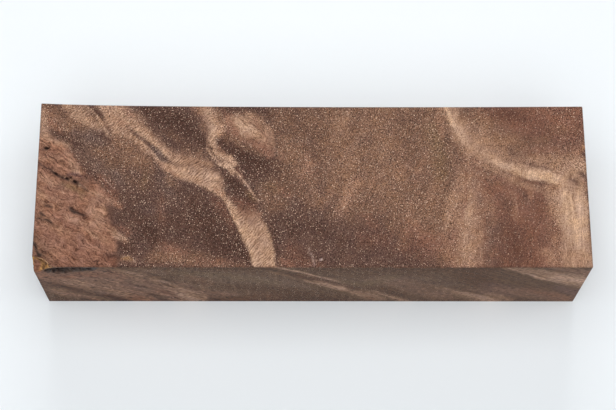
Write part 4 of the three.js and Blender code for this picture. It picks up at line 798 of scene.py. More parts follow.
    ("tan", 0.85, 2.4, (46.4, 23, 0.8), (49.4, 25.6, 1.4), (52.4, 28.4, 1.4)),
    ("pale", 0.6, 1.8, (57.4, 2.4, 0.6), (60.4, 4.2, 1), (68, 7.4, 1.2)),
    ("pale", 0.7, 1.6, (64, 11, 0.8), (70, 15.4, 1.2)),
    ("tan", 0.8, 1.6, (65.6, 13, 0.8), (68, 14.6, 1.2), (70, 16.4, 1)),
    ("brown", 0.6, 2, (-68, 21, 1), (-65.4, 23.6, 1.4), (-62, 26.4, 1.2)),
    ("tan", 0.6, 1.8, (47.4, 22.6, 0.7), (50, 24.8, 1.1)),
    ("tan", 0.5, 2, (48, 0.6, 0.8), (51.4, 2.4, 0.9), (54, 3.6, 0.6)),
    # broken corner and the bark pocket
    ("russet", 0.9, 2.1, (-71, 0.8, 1.8), (-67.4, 5, 0.6)),
    ("amber", 0.6, 0.8, (-68.4, 1.2, 0.3), (-67.2, 0.6, 0.6), (-64.2, 0.1, 0.2)),
    # The darkest streaks of the bark pocket: partly its own dark bark, partly painted shade deep inside it
    ("dusk", 0.9, 2.1, (-67.4, 3.6, 0.3), (-64.4, 3.6, 1.3), (-61.4, 2.8, 1.2), (-58, 2.4, 1.1),
     (-56, 2, 0.6)),
    ("ash", 0.95, 1.4, (-67, 2.8, 0.5), (-65, 3, 2), (-61.8, 2.6, 1.9), (-54.8, 1.2, 1)),
    ("soot", 0.85, 1.2, (-66, 2.8, 0.5), (-64.2, 3, 1.5), (-62.2, 2.6, 1.3), (-61, 2, 0.5)),
    ("tan", 0.8, 0.5, (-60.4, 0.2, 0.15), (-60.3, 1.4, 0.3), (-60.6, 2.5, 0.12)),
]

# Inside of the broken corner
CHIP_STREAKS = [
    ("russet", 0.95, 1, (-71, -19.6, 1), (-69.6, -21.2, 1.8), (-68.4, -23, 1.8)),
    ("amber", 0.95, (0.5, 0.6), (-70.2, -20.2, 0.7), (-68.6, -20.9, 1.1), (-67, -21.7, 1.1),
     (-65, -22.4, 0.7)),
    ("honey", 0.8, 0.5, (-69.2, -19.9, 0.3), (-68, -20.6, 0.6), (-66.6, -21.4, 0.7), (-65.2, -22.1, 0.4)),
    ("umber", 0.75, 0.4, (-69.6, -21, 0.2), (-68.6, -21.6, 0.3), (-67.4, -22.2, 0.2)),
]

# Where the wood shows which grain: bands like the streaks, without a colour, for a mask each
BURL_END = ((-71, 8, 5), (-68, -6, 6), (-66, -22, 8))
HATCHED_BAND = ((-17.6, -7, 1.6), (-15.4, -12, 3), (-13.4, -17, 2.9), (-12, -23, 3))
STRIATED_FIELD = ((-37, 6, 1.6), (-32, 4.6, 3), (-27, 3, 3), (-24, 1, 1.5))
BURL_GRAIN = [
    (1, 2, (-72, 14, 2), (-66, 9, 3.4), (-62, 2, 5), (-59, -6, 7), (-58, -15, 9), (-58, -24, 10)),
    (1, 2, *BURL_END),
    (0.8, 1.5, (-19, 17, 1.6), (-15, 14, 2.6), (-11.4, 10.6, 1.6)),
]
HATCH_GRAIN = [
    (1, (1.5, 0.8), *HATCHED_BAND),
    (0.35, 1.5, (-24, 8.4, 0.8), (-21, 6.6, 1)),
]
UPRIGHT_GRAIN = [
    (1, (2, 1.5), (65.6, 1, 2.6), (66, -10, 3.2), (66, -24, 3.6)),
    (0.55, 2, (50, 5, 1.5), (57, 3, 2), (62, 2, 1.5)),
    (0.5, 4, (41, 2, 3), (40, -10, 4), (40, -24, 5)),
    (0.45, 4, (37, 22, 2), (40, 12, 3), (46, 7, 2)),
    (0.5, 5, (53, -2, 6), (53, -20, 8)),
    (0.35, 5, (52, 18, 5), (58, 12, 6)),
]
LEVEL_GRAIN = [
    (1, 1.5, *STRIATED_FIELD),
    (1, 2.5, (-60, 21, 2), (-54, 17, 2.6), (-47, 15.6, 2.6), (-40, 9.6, 2.4)),
    (0.6, 2, (-25.6, 20, 1.4), (-25.4, 14, 1.4), (-22.4, 6.6, 1.6)),
]
# Where the pale pore flecks are missing
FLECKLESS = [
    (1, 2, (-72, 14, 2), (-66, 9, 3), (-62, 2, 4), (-58, -6, 7), (-57, -15, 9), (-57, -24, 9)),
    (1, 2, *BURL_END),
    (0.8, (1.5, 0.8), *HATCHED_BAND),
    (0.8, 1.5, *STRIATED_FIELD),
    (0.85, 1.5, (-19, 17, 2), (-15, 14.5, 3), (-11, 11.5, 2)),
    (0.8, 2, (65.6, 2, 3.2), (66, -10, 4), (66, -24, 4)),
    (0.7, (2, 1), (36, 22, 1.6), (38.6, 14, 2), (43, 9, 2), (50, 5, 1.6), (57, 3, 2), (62, 2, 1.5)),
    (0.5, 6, (53, 16, 9), (53, -6, 9), (51, -20, 9)),
    (0.4, 5, (-4, -17, 4), (12, -15, 6), (30, -17, 6)),
    (0.3, 4, (-52, -8, 4), (-38, -13, 5), (-26, -17, 4)),
    (0.55, 2, (-29, 22, 2), (-26, 15, 2), (-26, 11, 1)),
]

# Where the mesh's lines crowd for fine detail, each (how much more, place, half width): in the
# burl, the light bands and the plain end; at the long crack and the front edge; under the top
CROWD_ALONG = ((1.0, -62.0, 9.0), (0.5, -21.0, 11.0), (0.5, 46.0, 13.0))
CROWD_ACROSS = ((0.3, 2.0, 5.0), (0.4, -21.0, 3.0))
CROWD_UPWARD = ((1.4, HEIGHT, 4.5),)

# Noises, each (reach, size of its waves) in millimetres: they keep the streaks' edges from being
# ruler-straight, make them ragged, and roughen the broken corner
NUDGES = ((0.32, 2.6), (0.24, 0.9))
RAGS = ((1.0, 0.8), (0.6, 2.4))
RAG_DEPTH = 0.25
CHIP_UNEVEN = ((0.22, 1.3), (0.12, 0.55))

# How far the growth layers wander inside the block, over how much depth they begin to, and how
# far they lean across
WANDER_ALONG = (4.5, 13.0)
WANDER_ACROSS = (4.0, 15.0)
WANDER_DEPTH = 9.0
ACROSS_LEAN = 0.12

# Depths over which the marks of the top face and of the front face fade into the block, soft edge of
# cracks, and the depth at which a crack's painted shade is full
TOP_SKIN = 2.5
TOP_SKIN_FADE = 2.0
FRONT_SKIN = 0.4
FRONT_SKIN_FADE = 1.6
UNDER_EDGE = 0.5
CRACK_SOFT = 0.42
DARK_AT = 0.6

# The long sides are sawn and show long specks, this near to them and below the top edge. The
# front face turns calm, with few flecks, from here towards the plain end
LONG_SIDE_REACH = 1.6
LONG_SIDE_FADE = 1.2
BELOW_TOP = 0.6
CALM_START = 5.0
CALM_RUN = 50.0
CALM_REACH = 2.0
CALM_FADE = 1.5
CALM_LOSS = 0.8

# Depth of shade that the eased edges take from handling, and how far it reaches past them
EDGE_SOIL = 0.12
SOIL_REACH = 0.4

# Length of one band of the wave texture at a scale of 1
WAVE_UNIT = 0.314

# Noises of the surface: (scale, detail, roughness)
BEND_NOISE = (0.35, 1.0, 0.5)
CURL_NOISE = (0.42, 1.5, 0.5)
SPECK_NOISE = (1.0, 1.0, 0.7)
LONG_SPECK_NOISE = (1.0, 1.0, 0.6)
MOTTLE_NOISE = (1.5, 2.0, 0.65)
CLOUD_NOISE = (0.32, 2.0, 0.55)
FIBRE_NOISE = (1.0, 2.0, 0.6)
# Size of one speck in millimetres, and how far specks, mottling and clouds swing the wood's
# own colour
SPECK_SIZE = (0.27, 0.36, 0.36)
SPECK_DEPTH = 4.5
LONG_SPECK_SIZE = (1.1, 0.6, 0.6)
LONG_SPECK_DEPTH = 2.0
MOTTLE_DEPTH = 0.9
CLOUD_DEPTH = 0.35
# How much the upright grain and the burl count as ruled wood, and how much of the specks is
# lost in ruled wood, where flecks are missing and on the long sides
RULED_UPRIGHT = 1.6
RULED_BURL = 0.8
RULED_LOSS = 0.5
FLECKLESS_LOSS = 0.4
LONG_SIDE_LOSS = 0.75
# How far a noise bends the lines of plain wood and of burl, in millimetres
BEND = (1.6, 1.6, 1.6)
CURL = (3.4, 3.4, 3.4)
# Grain that a mask brings out: (mask, pattern, direction in degrees, length and spacing of
# lines or spacing and bend of ripples, depth)
MASKED_GRAIN = (
    ("burl", "lines", -33.0, 3.2, 0.46, 0.46),
    ("burl", "lines", -33.0, 1.6, 0.3, 0.46),
    ("burl", "ripples", -33.0, 1.25, 4.5, 0.14),
    ("hatch", "lines", 48.0, 1.7, 0.4, 0.44),
    ("hatch", "ripples", 50.0, 0.66, 4.0, 0.2),
    ("upright", "lines", 89.0, 8.0, 0.36, 0.36),
    ("level", "lines", 41.0, 1.4, 0.42, 0.52),
    ("level", "ripples", 42.0, 0.66, 5.0, 0.27),
)
# Broad patches of the burl, redder where they are dark, and the lines that stream along the
# whole block: (direction in degrees, length, spacing)
PATCHES = (-33.0, 6.0, 1.7)
PATCH_DEPTH = 0.16
PATCH_RED = 0.8
RED_FROM = (0.0, -0.9)
STREAMING = ((66.0, 9.0, 0.8), (66.0, 4.0, 0.4))
STREAM_DEPTH = 0.13
# Pale pore flecks: (cell, size, strength), how long and how turned they are, their least size,
# full core and spread of brightness, and how they gather along the streaming lines
FLECKS = ((0.42, 0.21, 2.1), (0.3, 0.28, 1.5))
FLECK_LENGTH = 1.45
FLECK_TURN = (0.0, 0.0, -0.2)
FLECK_LEAST = 0.35
FLECK_CORE = 0.4
FLECK_FADE = 1.2
FLECK_EVEN = 0.9
FLECK_GATHER = 0.3
FLECK_LOOK = (238, 206, 180)
# How each tone of the grain changes red, green and blue, and the least that it leaves
TONE_SWING = (0.92, 1.04, 1.1)
TONE_LEVEL = (0.945, 0.928, 0.914)
TONE_LEAST = (0.25, 0.22, 0.2)
CLOUD_TURN = (0.3, 0.7)
WARM_TINT = (1.03, 1.0, 0.93, 1.0)
COOL_TINT = (0.98, 1.0, 1.06, 1.0)
RED_TINT = (0.96, 0.86, 0.8, 1.0)
# How deep a hollow begins and ends to take painted shade, first of the dusk colour and then of the darkest
# colour
DUSK_FROM = (0.1, 0.5)
DEEP_SHADE_FROM = (0.25, 0.8)
# Gloss and fine relief
ROUGH_LEAST = 0.5
ROUGH_MOTTLE = 0.2
ROUGH_HOLLOW = 0.3
RELIEF_MOTTLE = 0.5
RELIEF_STRENGTH = 0.25
RELIEF_DEPTH = 0.06 * MM


# Number work on whole arrays

def smooth_step(t):
    """0 below 0, 1 above 1, and 3t^2 - 2t^3 between."""
    t = np.clip(t, 0.0, 1.0)
    return t * t * (3.0 - 2.0 * t)


def wood_noise(points, size, seed):
    """Random numbers from -1 to 1 at the corners of cubes of the given size, blended between
    the eight corners by smooth_step of the place in the cube. points is N rows of x, y, z."""
    table = np.random.default_rng(seed).uniform(-1.0, 1.0, 4096)
    at = points / size
    low = np.floor(at).astype(np.int64)
    part = smooth_step(at - low)
    total = np.zeros(len(points))
    for corner in range(8):
        step = np.array([corner & 1, corner >> 1 & 1, corner >> 2 & 1])
        cell = low + step
        index = (cell[:, 0] * 73856093 ^ cell[:, 1] * 19349663 ^ cell[:, 2] * 83492791) & 4095
        weight = np.prod(np.where(step == 1, part, 1.0 - part), axis=1)
        total += table[index] * weight
    return total


def smooth_path(points, steps=5):
    """A Catmull-Rom curve through the points, each an even blend by the cubic of its four
    nearest points. Columns are along, across, half width and strength."""
    rows = np.array([p if len(p) == 4 else (*p, 1.0) for p in points], float)
    padded = np.vstack([2 * rows[0] - rows[1], rows, 2 * rows[-1] - rows[-2]])
    t = np.linspace(0.0, 1.0, steps, endpoint=False)[:, None]
    parts = []
    for a, b, c, d in zip(padded[:-3], padded[1:-2], padded[2:-1], padded[3:]):
        bend = 2 * a - 5 * b + 4 * c - d
        twist = 3 * b - a - 3 * c + d
        parts.append(0.5 * (2 * b + (c - a) * t + bend * t**2 + twist * t**3))
    return np.vstack([*parts, rows[-1:]])


def layered_noise(points, layers, seed):
    """The sum of a wood_noise for each (reach, size), with seeds that follow on."""
    return sum(
        reach * wood_noise(points, size, seed + k) for k, (reach, size) in enumerate(layers)
    )


def streak_cover(along, across, soft, points):
    """How much a streak covers each point, 0 to 1. For each short stretch of its path, the
    distance to the stretch less the half width there is divided by the soft edge's width on
    that side; the least of these, e, gives smooth_step(0.5 - e)."""
    left_soft, right_soft = np.broadcast_to(soft, 2)
    path = smooth_path(points)
    reach = path[:, 2].max() + max(left_soft, right_soft)
    cover = np.zeros(len(along))
    near = np.flatnonzero(
        (along > path[:, 0].min() - reach) & (along < path[:, 0].max() + reach)
        & (across > path[:, 1].min() - reach) & (across < path[:, 1].max() + reach)
    )
    if not len(near):
        return cover
    x, y = along[near], across[near]
    least = np.full(len(near), np.inf)
    strength = np.ones(len(near))
    for a, b in zip(path[:-1], path[1:]):
        run = b[:2] - a[:2]
        t = np.clip(((x - a[0]) * run[0] + (y - a[1]) * run[1]) / (run @ run), 0.0, 1.0)
        dx, dy = x - a[0] - t * run[0], y - a[1] - t * run[1]
        on_left = run[0] * dy - run[1] * dx > 0
        width = np.where(on_left, left_soft, right_soft)
        edge = (np.hypot(dx, dy) - (a[2] + t * (b[2] - a[2]))) / width
        closer = edge < least
        least = np.where(closer, edge, least)
        strength = np.where(closer, a[3] + t * (b[3] - a[3]), strength)
    cover[near] = smooth_step(0.5 - least) * strength
    return cover


def lay_streaks(colours, along, across, streaks, palette, ragged, amount=1.0):
    """Lays each streak's colour over colours in turn, as much as it covers times its strength,
    made ragged by a noise."""
    for colour, strength, soft, *points in streaks:
        cover = streak_cover(along, across, soft, points) * strength * amount
        cover = np.clip(cover * (1.0 + RAG_DEPTH * ragged), 0.0, 1.0)[:, None]
        colours = colours * (1.0 - cover) + np.array(palette[colour]) * cover
    return colours


def mask_of(along, across, bands):
    """The most that any of the bands covers each point, times its strength."""
    mask = np.zeros(len(along))
    for strength, soft, *points in bands:
        mask = np.maximum(mask, streak_cover(along, across, soft, points) * strength)
    return mask


def to_linear(display):
    """Display values to linear light, by the standard curve."""
    return np.where(display <= 0.04045, display / 12.92, ((display + 0.055) / 1.055) ** 2.4)


# The block's surface

def grid_lines(count, low, high, ease, crowds):
    """count + 1 line places from low to high. The outer ones turn the eased edge, at 0, 0.586
    and 1 times its radius. The others divide evenly the area under 1 plus a bell curve at each
    of the crowds."""
    turn = np.array([0.0, 0.586 * ease])
    fine = np.linspace(low + ease, high - ease, 2000)
    bells = (more * np.exp(-(((fine - place) / width) ** 2)) for more, place, width in crowds)
    density = 1.0 + sum(bells)
    area = np.concatenate([[0.0], np.cumsum((density[1:] + density[:-1]) / 2)])
    inner = np.interp(np.linspace(0.0, area[-1], count - 3), area, fine)
    return np.concatenate([low + turn, inner, high - turn[::-1]])


def back_face(x):
    """Distance of the back face from the middle: a parabola plus a flare that dies out."""
    bow = BACK_BOW * ((x - BACK_HOLLOW_X) / BACK_BOW_RUN) ** 2
    return BACK_MIDDLE + bow + FLARE * np.exp(-(x + HALF_LENGTH) / FLARE_RUN)


def face_cells(lattice, fine, fine_sides):
    """The cells of one face as rows of eight vertex numbers, corner and side middle in turn,
    with -1 for a side middle that isn't there. lattice holds the face's vertices at full
    density. A coarse face takes every second line, and side middles only where the face next
    to it is fine: fine_sides tells that for the first row, last column, last row and first
    column of cells."""
    step = 1 if fine else 2
    grid = lattice[::step, ::step]
    cells = np.full((grid.shape[0] - 1, grid.shape[1] - 1, 8), -1)
    cells[..., 0], cells[..., 2] = grid[:-1, :-1], grid[1:, :-1]
    cells[..., 4], cells[..., 6] = grid[1:, 1:], grid[:-1, 1:]
    if not fine:
        low_v, high_u, high_v, low_u = fine_sides
        if low_v:
            cells[:, 0, 1] = lattice[1::2, 0]
        if high_u:
            cells[-1, :, 3] = lattice[-1, 1::2]
        if high_v:
            cells[:, -1, 5] = lattice[1::2, -1]
        if low_u:
            cells[0, :, 7] = lattice[0, 1::2]
    return cells.reshape(-1, 8)


def cells_to_faces(cells):
    """Rows of eight vertex numbers to faces, dropping each -1, one pattern of gaps at a time."""
    patterns = (cells >= 0) @ (1 << np.arange(8))
    faces = []
    for pattern in np.unique(patterns):
        columns = [c for c in range(8) if pattern >> c & 1]
        faces += cells[patterns == pattern][:, columns].tolist()
    return faces


def rounded_block(shape):
    """Vertices (N x 3, millimetres) and faces of the plain block with eased edges. The box is a
    lattice of lines along x, y and z. A point p on the box goes to q + r (p - q) / |p - q|,
    where q is the nearest point of the box shrunk by the edge radius r. The top and the front
    are fine, and the other faces take every second line."""
    ease = shape.edge_ease
    xs = grid_lines(shape.along, -HALF_LENGTH, HALF_LENGTH, ease, CROWD_ALONG)
    ys = grid_lines(shape.across, FRONT, -FRONT, ease, CROWD_ACROSS)
    zs = grid_lines(shape.upward, 0.0, HEIGHT, ease, CROWD_UPWARD)
    size = (len(xs), len(ys), len(zs))
    number = np.arange(np.prod(size)).reshape(size)
    top, bottom = number[:, :, -1], number[:, :, 0].T
    front, back = number[:, 0, :], number[:, -1, :].T
    plain_end, burl_end = number[-1], number[0].T
    cells = np.vstack([
        face_cells(top, True, None),
        face_cells(front, True, None),
        face_cells(bottom, False, (False, False, False, True)),
        face_cells(back, False, (False, True, False, False)),
        face_cells(plain_end, False, (False, False, True, True)),
        face_cells(burl_end, False, (True, True, False, False)),
    ])
    used, renumbered = np.unique(cells, return_inverse=True)
    cells = renumbered.reshape(cells.shape) - (1 if used[0] < 0 else 0)
    used = used[used >= 0]
    i, j, k = np.unravel_index(used, size)
    p = np.stack([xs[i], ys[j], zs[k]], 1)
    low = np.array([-HALF_LENGTH + ease, FRONT + ease, ease])
    high = np.array([HALF_LENGTH - ease, -FRONT - ease, HEIGHT - ease])
    q = np.clip(p, low, high)
    out = p - q
    return q + ease * out / np.linalg.norm(out, axis=1, keepdims=True), cells_to_faces(cells)


def flare_back(p):
    """Stretches the width evenly from the front face, so that the back face follows
    back_face."""
    p = p.copy()
    p[:, 1] = FRONT + (p[:, 1] - FRONT) * (back_face(p[:, 0]) - FRONT) / WIDTH
    return p


def break_corner(p):
    """Moves each point inside the break's uneven sphere straight away from its middle, onto
    it. Returns the points and how far each one moved."""
    corner = np.array([-HALF_LENGTH, FRONT, HEIGHT])
    on_edges = corner + np.diag([CHIP_ALONG_FRONT, CHIP_ALONG_END, -CHIP_DOWN])
    middle = on_edges.mean(0)
    normal = np.cross(on_edges[1] - on_edges[0], on_edges[2] - on_edges[0])
    normal /= np.linalg.norm(normal)
    normal *= np.sign(normal @ (corner - middle))
    reach = np.linalg.norm(on_edges - middle, axis=1).mean()
    centre = middle + normal * math.sqrt(CHIP_RADIUS**2 - reach**2)
    away = p - centre
    distance = np.linalg.norm(away, axis=1)
    near = distance < CHIP_RADIUS + 1.0
    uneven = np.zeros(len(p))
    uneven[near] = layered_noise(p[near], CHIP_UNEVEN, 31)
    target = CHIP_RADIUS + uneven
    moved = np.maximum(target - distance, 0.0)
    return p + away / distance[:, None] * moved[:, None], moved


def crack_depths(along, across, cracks, scale):
    """Depth below the face: each crack's depth times how much its band covers the point."""
    depth = np.zeros(len(along))
    for points, deepest in cracks:
        cover = streak_cover(along, across, CRACK_SOFT, points)
        depth = np.maximum(depth, deepest * scale * cover)
    return depth


def layer_place(p):
    """Place on the plan of the top face whose growth layer passes through each point. The
    layers lean along the length by LAYER_LEAN for each millimetre of depth, are folded back at
    the burl end, and wander more with depth."""
    depth = HEIGHT - p[:, 2]
    wander = 1.0 - np.exp(-depth / WANDER_DEPTH)
    along = p[:, 0] - LAYER_LEAN * depth + wander * layered_noise(p, [WANDER_ALONG], 21)
    along = -HALF_LENGTH + np.abs(along + HALF_LENGTH)
    across = p[:, 1] + PLAN_SHIFT + wander * layered_noise(p, [WANDER_ACROSS], 22)
    return along, across - ACROSS_LEAN * depth


def front_shades(palette):
    """The palette with each colour that has a front shade replaced by it: the front face's copy of that
    colour, partly its own wood and partly its own light and shade painted in.
    """
    shades = {
        name.removeprefix("front_"): colour
        for name, colour in palette.items() if name.startswith("front_")
    }
    return {**palette, **shades}


def figure_of(p, palette):
    """The colour (display values) and masks at each point, from the streaks: the wood's own colour, with
    the painted sheen, shade and edge highlight that some streaks carry. Both places are nudged by small
    noises so that no edge is ruler-straight. The front face's own streaks fade out behind it."""
    nudge_x = layered_noise(p, NUDGES, 1)
    nudge_y = layered_noise(p, NUDGES, 3)
    ragged = layered_noise(p, RAGS, 5)
    along, across = layer_place(p)
    along, across = along + nudge_x, across + nudge_y
    depth = HEIGHT - p[:, 2]
    colours = np.tile(np.array(palette["bark"]), (len(p), 1))
    colours = lay_streaks(colours, along, across, GROUND_STREAKS, palette, ragged)
    colours = lay_streaks(colours, along, across, TOP_STREAKS, palette, ragged)
    on_top = smooth_step((TOP_SKIN - depth) / TOP_SKIN_FADE)
    colours = lay_streaks(colours, along, across, TOP_MARKS, palette, ragged, on_top)
    shades = front_shades(palette)
    on_front = np.exp(-np.maximum(p[:, 1] - FRONT - FRONT_SKIN, 0.0) / FRONT_SKIN_FADE)
    on_front *= smooth_step(depth / UNDER_EDGE)
    front = np.tile(np.array(shades["umber"]), (len(p), 1))
    near = on_front > 0.01
    front[near] = lay_streaks(
        front[near], (p[:, 0] + nudge_x)[near], (depth - nudge_y)[near], FRONT_STREAKS, shades,
        ragged[near],
    )
    colours += (front - colours) * on_front[:, None]
    masks = {
        "burl": mask_of(along, across, BURL_GRAIN),
        "hatch": mask_of(along, across, HATCH_GRAIN),
        "upright": mask_of(along, across, UPRIGHT_GRAIN),
        "level": mask_of(along, across, LEVEL_GRAIN),
        "flecks": 1.0 - mask_of(along, across, FLECKLESS),
    }
    return colours, masks


def long_side_mask(p):
    """1 on the front and back faces, falling to 0 away from them and at the top edge."""
    to_side = np.minimum(p[:, 1] - FRONT, back_face(p[:, 0]) - p[:, 1])
    return smooth_step((LONG_SIDE_REACH - to_side) / LONG_SIDE_FADE) * smooth_step(
        (HEIGHT - p[:, 2]) / BELOW_TOP
    )


def calm_mask(p):
    """0 on the front face's burl half, rising to 1 at its plain end, and 0 away from it."""
    calm = smooth_step((p[:, 0] - CALM_START) / CALM_RUN)
    calm *= smooth_step((CALM_REACH - (p[:, 1] - FRONT)) / CALM_FADE)
    return calm * smooth_step((HEIGHT - p[:, 2]) / BELOW_TOP)


def make_block(shape, colours):
    """The dressed block: rounded_block, flared, broken and cracked, with its colour and masks
    as vertex attributes."""
    p, faces = rounded_block(shape)
    p = flare_back(p)
    palette = {name: tuple(getattr(colours, name)) for name in colours.__annotations__}
    figure, masks = figure_of(p, palette)
    placed, chip_depth = break_corner(p)
    broken = smooth_step(chip_depth / 0.5)
    figure = lay_streaks(
        figure, p[:, 0], p[:, 1], CHIP_STREAKS, palette, np.zeros(len(p)), broken
    )
    flat = shape.edge_ease + 0.02
    on_top = smooth_step((p[:, 2] - (HEIGHT - flat)) / shape.edge_ease)
    pits = crack_depths(p[:, 0], p[:, 1], TOP_CRACKS, shape.crack_depth) * on_top
    on_front = smooth_step((FRONT + flat - p[:, 1]) / shape.edge_ease)
    pocket = crack_depths(
        p[:, 0], HEIGHT - p[:, 2], [(BARK_POCKET, BARK_POCKET_DEPTH)], shape.crack_depth
    )
    placed[:, 2] -= pits
    placed[:, 1] += pocket * on_front * (1.0 - broken)
    masks["flecks"] *= 1.0 - CALM_LOSS * calm_mask(p)
    # How deep each pit and crack is, for the painted shade that darkens the hollows
    masks["hollow"] = np.clip(pits / DARK_AT, 0.0, 1.0)
    masks["edge"] = edge_nearness(p, shape.edge_ease)
    masks["long_side"] = long_side_mask(p)
    mesh = bpy.data.meshes.new("walnut_burl_block")
    mesh.from_pydata((placed * MM).tolist(), [], faces)
    add_numbers(mesh, "figure", [*to_linear(figure).T, np.ones(len(p))])
    add_numbers(mesh, "grain", [masks[name] for name in ("burl", "hatch", "upright", "level")])
    add_numbers(mesh, "surface", [masks[name] for name in ("flecks", "hollow", "edge", "long_side")])
    mesh.polygons.foreach_set("use_smooth", np.ones(len(mesh.polygons), bool))
    mesh.update()
    return mesh


def edge_nearness(p, ease):
    """1 on the eased edges, falling to 0 a little way past them: the second least of the
    distances to the three pairs of faces decides."""
    sides = np.stack([
        HALF_LENGTH - np.abs(p[:, 0]),
        np.minimum(p[:, 1] - FRONT, back_face(p[:, 0]) - p[:, 1]),
        np.minimum(p[:, 2], HEIGHT - p[:, 2]),
    ], 1)
    second = np.sort(sides, axis=1)[:, 1]
    return smooth_step(1.0 - second / (ease + SOIL_REACH))


def add_numbers(mesh, name, columns):
    """Stores four numbers for each vertex under that name."""
    layer = mesh.attributes.new(name, "FLOAT_COLOR", "POINT")
    layer.data.foreach_set("color", np.column_stack(columns).astype(np.float32).ravel())


# Materials

class NodeBench:
    """Adds nodes to one tree. An input may be a number, a tuple or another node's output."""

    def __init__(self, tree):
        self.tree = tree

    def put(self, kind, inputs=None, **settings):
        node = self.tree.nodes.new(kind)
        for name, value in settings.items():
            setattr(node, name, value)
        for key, value in (inputs or {}).items():
            if isinstance(value, bpy.types.NodeSocket):
                self.tree.links.new(value, node.inputs[key])
            else:
                node.inputs[key].default_value = value
        return node

    def math(self, operation, a, b=0.0, c=0.0, clamp=False):
        node = self.put("ShaderNodeMath", {0: a, 1: b, 2: c}, operation=operation)
        node.use_clamp = clamp
        return node.outputs[0]

    def add(self, total, value, depth, clamp=False):
        """total + value * depth"""
        return self.math("MULTIPLY_ADD", value, depth, total, clamp)

    def vector(self, operation, a, b, c=(0.0, 0.0, 0.0)):
        node = self.put("ShaderNodeVectorMath", {0: a, 1: b, 2: c}, operation=operation)
        return node.outputs[0]

    def mix(self, factor, a, b, blend="MIX"):
        node = self.put(
            "ShaderNodeMix", {0: factor, 6: a, 7: b}, data_type="RGBA", blend_type=blend
        )
        return node.outputs[2]

    def step(self, value, low, high):
        node = self.put(
            "ShaderNodeMapRange", {"Value": value, "From Min": low, "From Max": high},
            interpolation_type="SMOOTHSTEP",
        )
        return node.outputs[0]

    def noise(self, place, scale, detail, roughness):
        return self.put(
            "ShaderNodeTexNoise",
            {"Vector": place, "Scale": scale, "Detail": detail, "Roughness": roughness},
        ).outputs

    def mapped(self, place, size=(1.0, 1.0, 1.0), turn=(0.0, 0.0, 0.0), kind="TEXTURE"):
        return self.put(
            "ShaderNodeMapping", {"Vector": place, "Scale": size, "Rotation": turn},
            vector_type=kind,
        ).outputs[0]

    def triple(self, x=0.0, y=0.0, z=0.0):
        return self.put("ShaderNodeCombineXYZ", {0: x, 1: y, 2: z}).outputs[0]

    def pattern(self, group, place, *numbers):
        """A node group of new_group, with its place and numbers in order."""
        inputs = dict(enumerate((place, *numbers)))
        return self.put("ShaderNodeGroup", inputs, node_tree=group).outputs[0]

    def attribute(self, name):
        """The four numbers of a vertex attribute as separate outputs."""
        node = self.put("ShaderNodeAttribute", attribute_name=name)
        parts = self.put("ShaderNodeSeparateColor", {"Color": node.outputs["Color"]})
        return (*parts.outputs, node.outputs["Alpha"])


def new_group(name, numbers, result):
    """A shader node group that takes a Place and the named numbers, with these defaults, and
    gives one number. Returns a bench on it, its input sockets by name and the result's."""
    group = bpy.data.node_groups.new(name, "ShaderNodeTree")
    group.interface.new_socket("Place", in_out="INPUT", socket_type="NodeSocketVector")
    for label, default in numbers.items():
        socket = group.interface.new_socket(label, in_out="INPUT", socket_type="NodeSocketFloat")
        socket.default_value = default
    group.interface.new_socket(result, in_out="OUTPUT", socket_type="NodeSocketFloat")
    bench = NodeBench(group)
    entry = bench.put("NodeGroupInput").outputs
    return bench, entry, bench.put("NodeGroupOutput").inputs[result]


def fibre_group():
    """Fine lines along a direction: a noise stretched along the fibres, pushed to contrast."""
    numbers = {"Direction": 0.0, "Length": 3.0, "Spacing": 0.4}
    bench, entry, result = new_group("Wood fibres", numbers, "Lines")
    size = bench.triple(entry["Length"], entry["Spacing"], entry["Length"])
    place = bench.mapped(entry["Place"], size, bench.triple(z=entry["Direction"]))
    noise = bench.noise(place, *FIBRE_NOISE)["Fac"]
    lines = bench.math("MULTIPLY", bench.math("SUBTRACT", noise, 0.5), 4.0)
    low = bench.math("MAXIMUM", lines, -1.0)
    bench.tree.links.new(bench.math("MINIMUM", low, 1.0), result)
    return bench.tree


def ripple_group():
    """Fine ripples: even bands along a direction, bent by a noise."""
    numbers = {"Direction": 0.0, "Spacing": 1.0, "Bend": 4.0}
    bench, entry, result = new_group("Wood ripples", numbers, "Ripples")
    wave = bench.put(
        "ShaderNodeTexWave",
        {
            "Vector": bench.mapped(entry["Place"], turn=bench.triple(z=entry["Direction"])),
            "Scale": bench.math("DIVIDE", WAVE_UNIT, entry["Spacing"]),
            "Distortion": entry["Bend"],
            "Detail": 1.0,
            "Detail Scale": 1.2,
            "Detail Roughness": 0.5,
        },
        bands_direction="Y",
    )
    centred = bench.math("MULTIPLY_ADD", wave.outputs["Fac"], 2.0, -1.0)
    bench.tree.links.new(centred, result)
    return bench.tree


def fleck_group():
    """Pale filled pores: spots round scattered points, longer across the block, each with its
    own size and brightness."""
    bench, entry, result = new_group("Pore flecks", {"Cell": 0.8, "Size": 0.3}, "Flecks")
    longer = bench.math("MULTIPLY", entry["Cell"], FLECK_LENGTH)
    size = bench.triple(entry["Cell"], longer, entry["Cell"])
    spots = bench.put(
        "ShaderNodeTexVoronoi",
        {"Vector": bench.mapped(entry["Place"], size, FLECK_TURN), "Scale": 1.0},
    )
    own = bench.put("ShaderNodeSeparateColor", {"Color": spots.outputs["Color"]})
    share = bench.math("ADD", own.outputs[0], FLECK_LEAST)
    radius = bench.math("MULTIPLY", entry["Size"], share)
    inner = bench.math("MULTIPLY", radius, FLECK_CORE)
    spot = bench.step(spots.outputs["Distance"], radius, inner)
    bright = bench.math("POWER", own.outputs[1], FLECK_FADE)
    bench.tree.links.new(bench.math("MULTIPLY", spot, bright), result)
    return bench.tree


def node_colour(display):
    """A colour setting as the linear colour and alpha that a node takes."""
    return (*to_linear(np.array(tuple(display))).tolist(), 1.0)


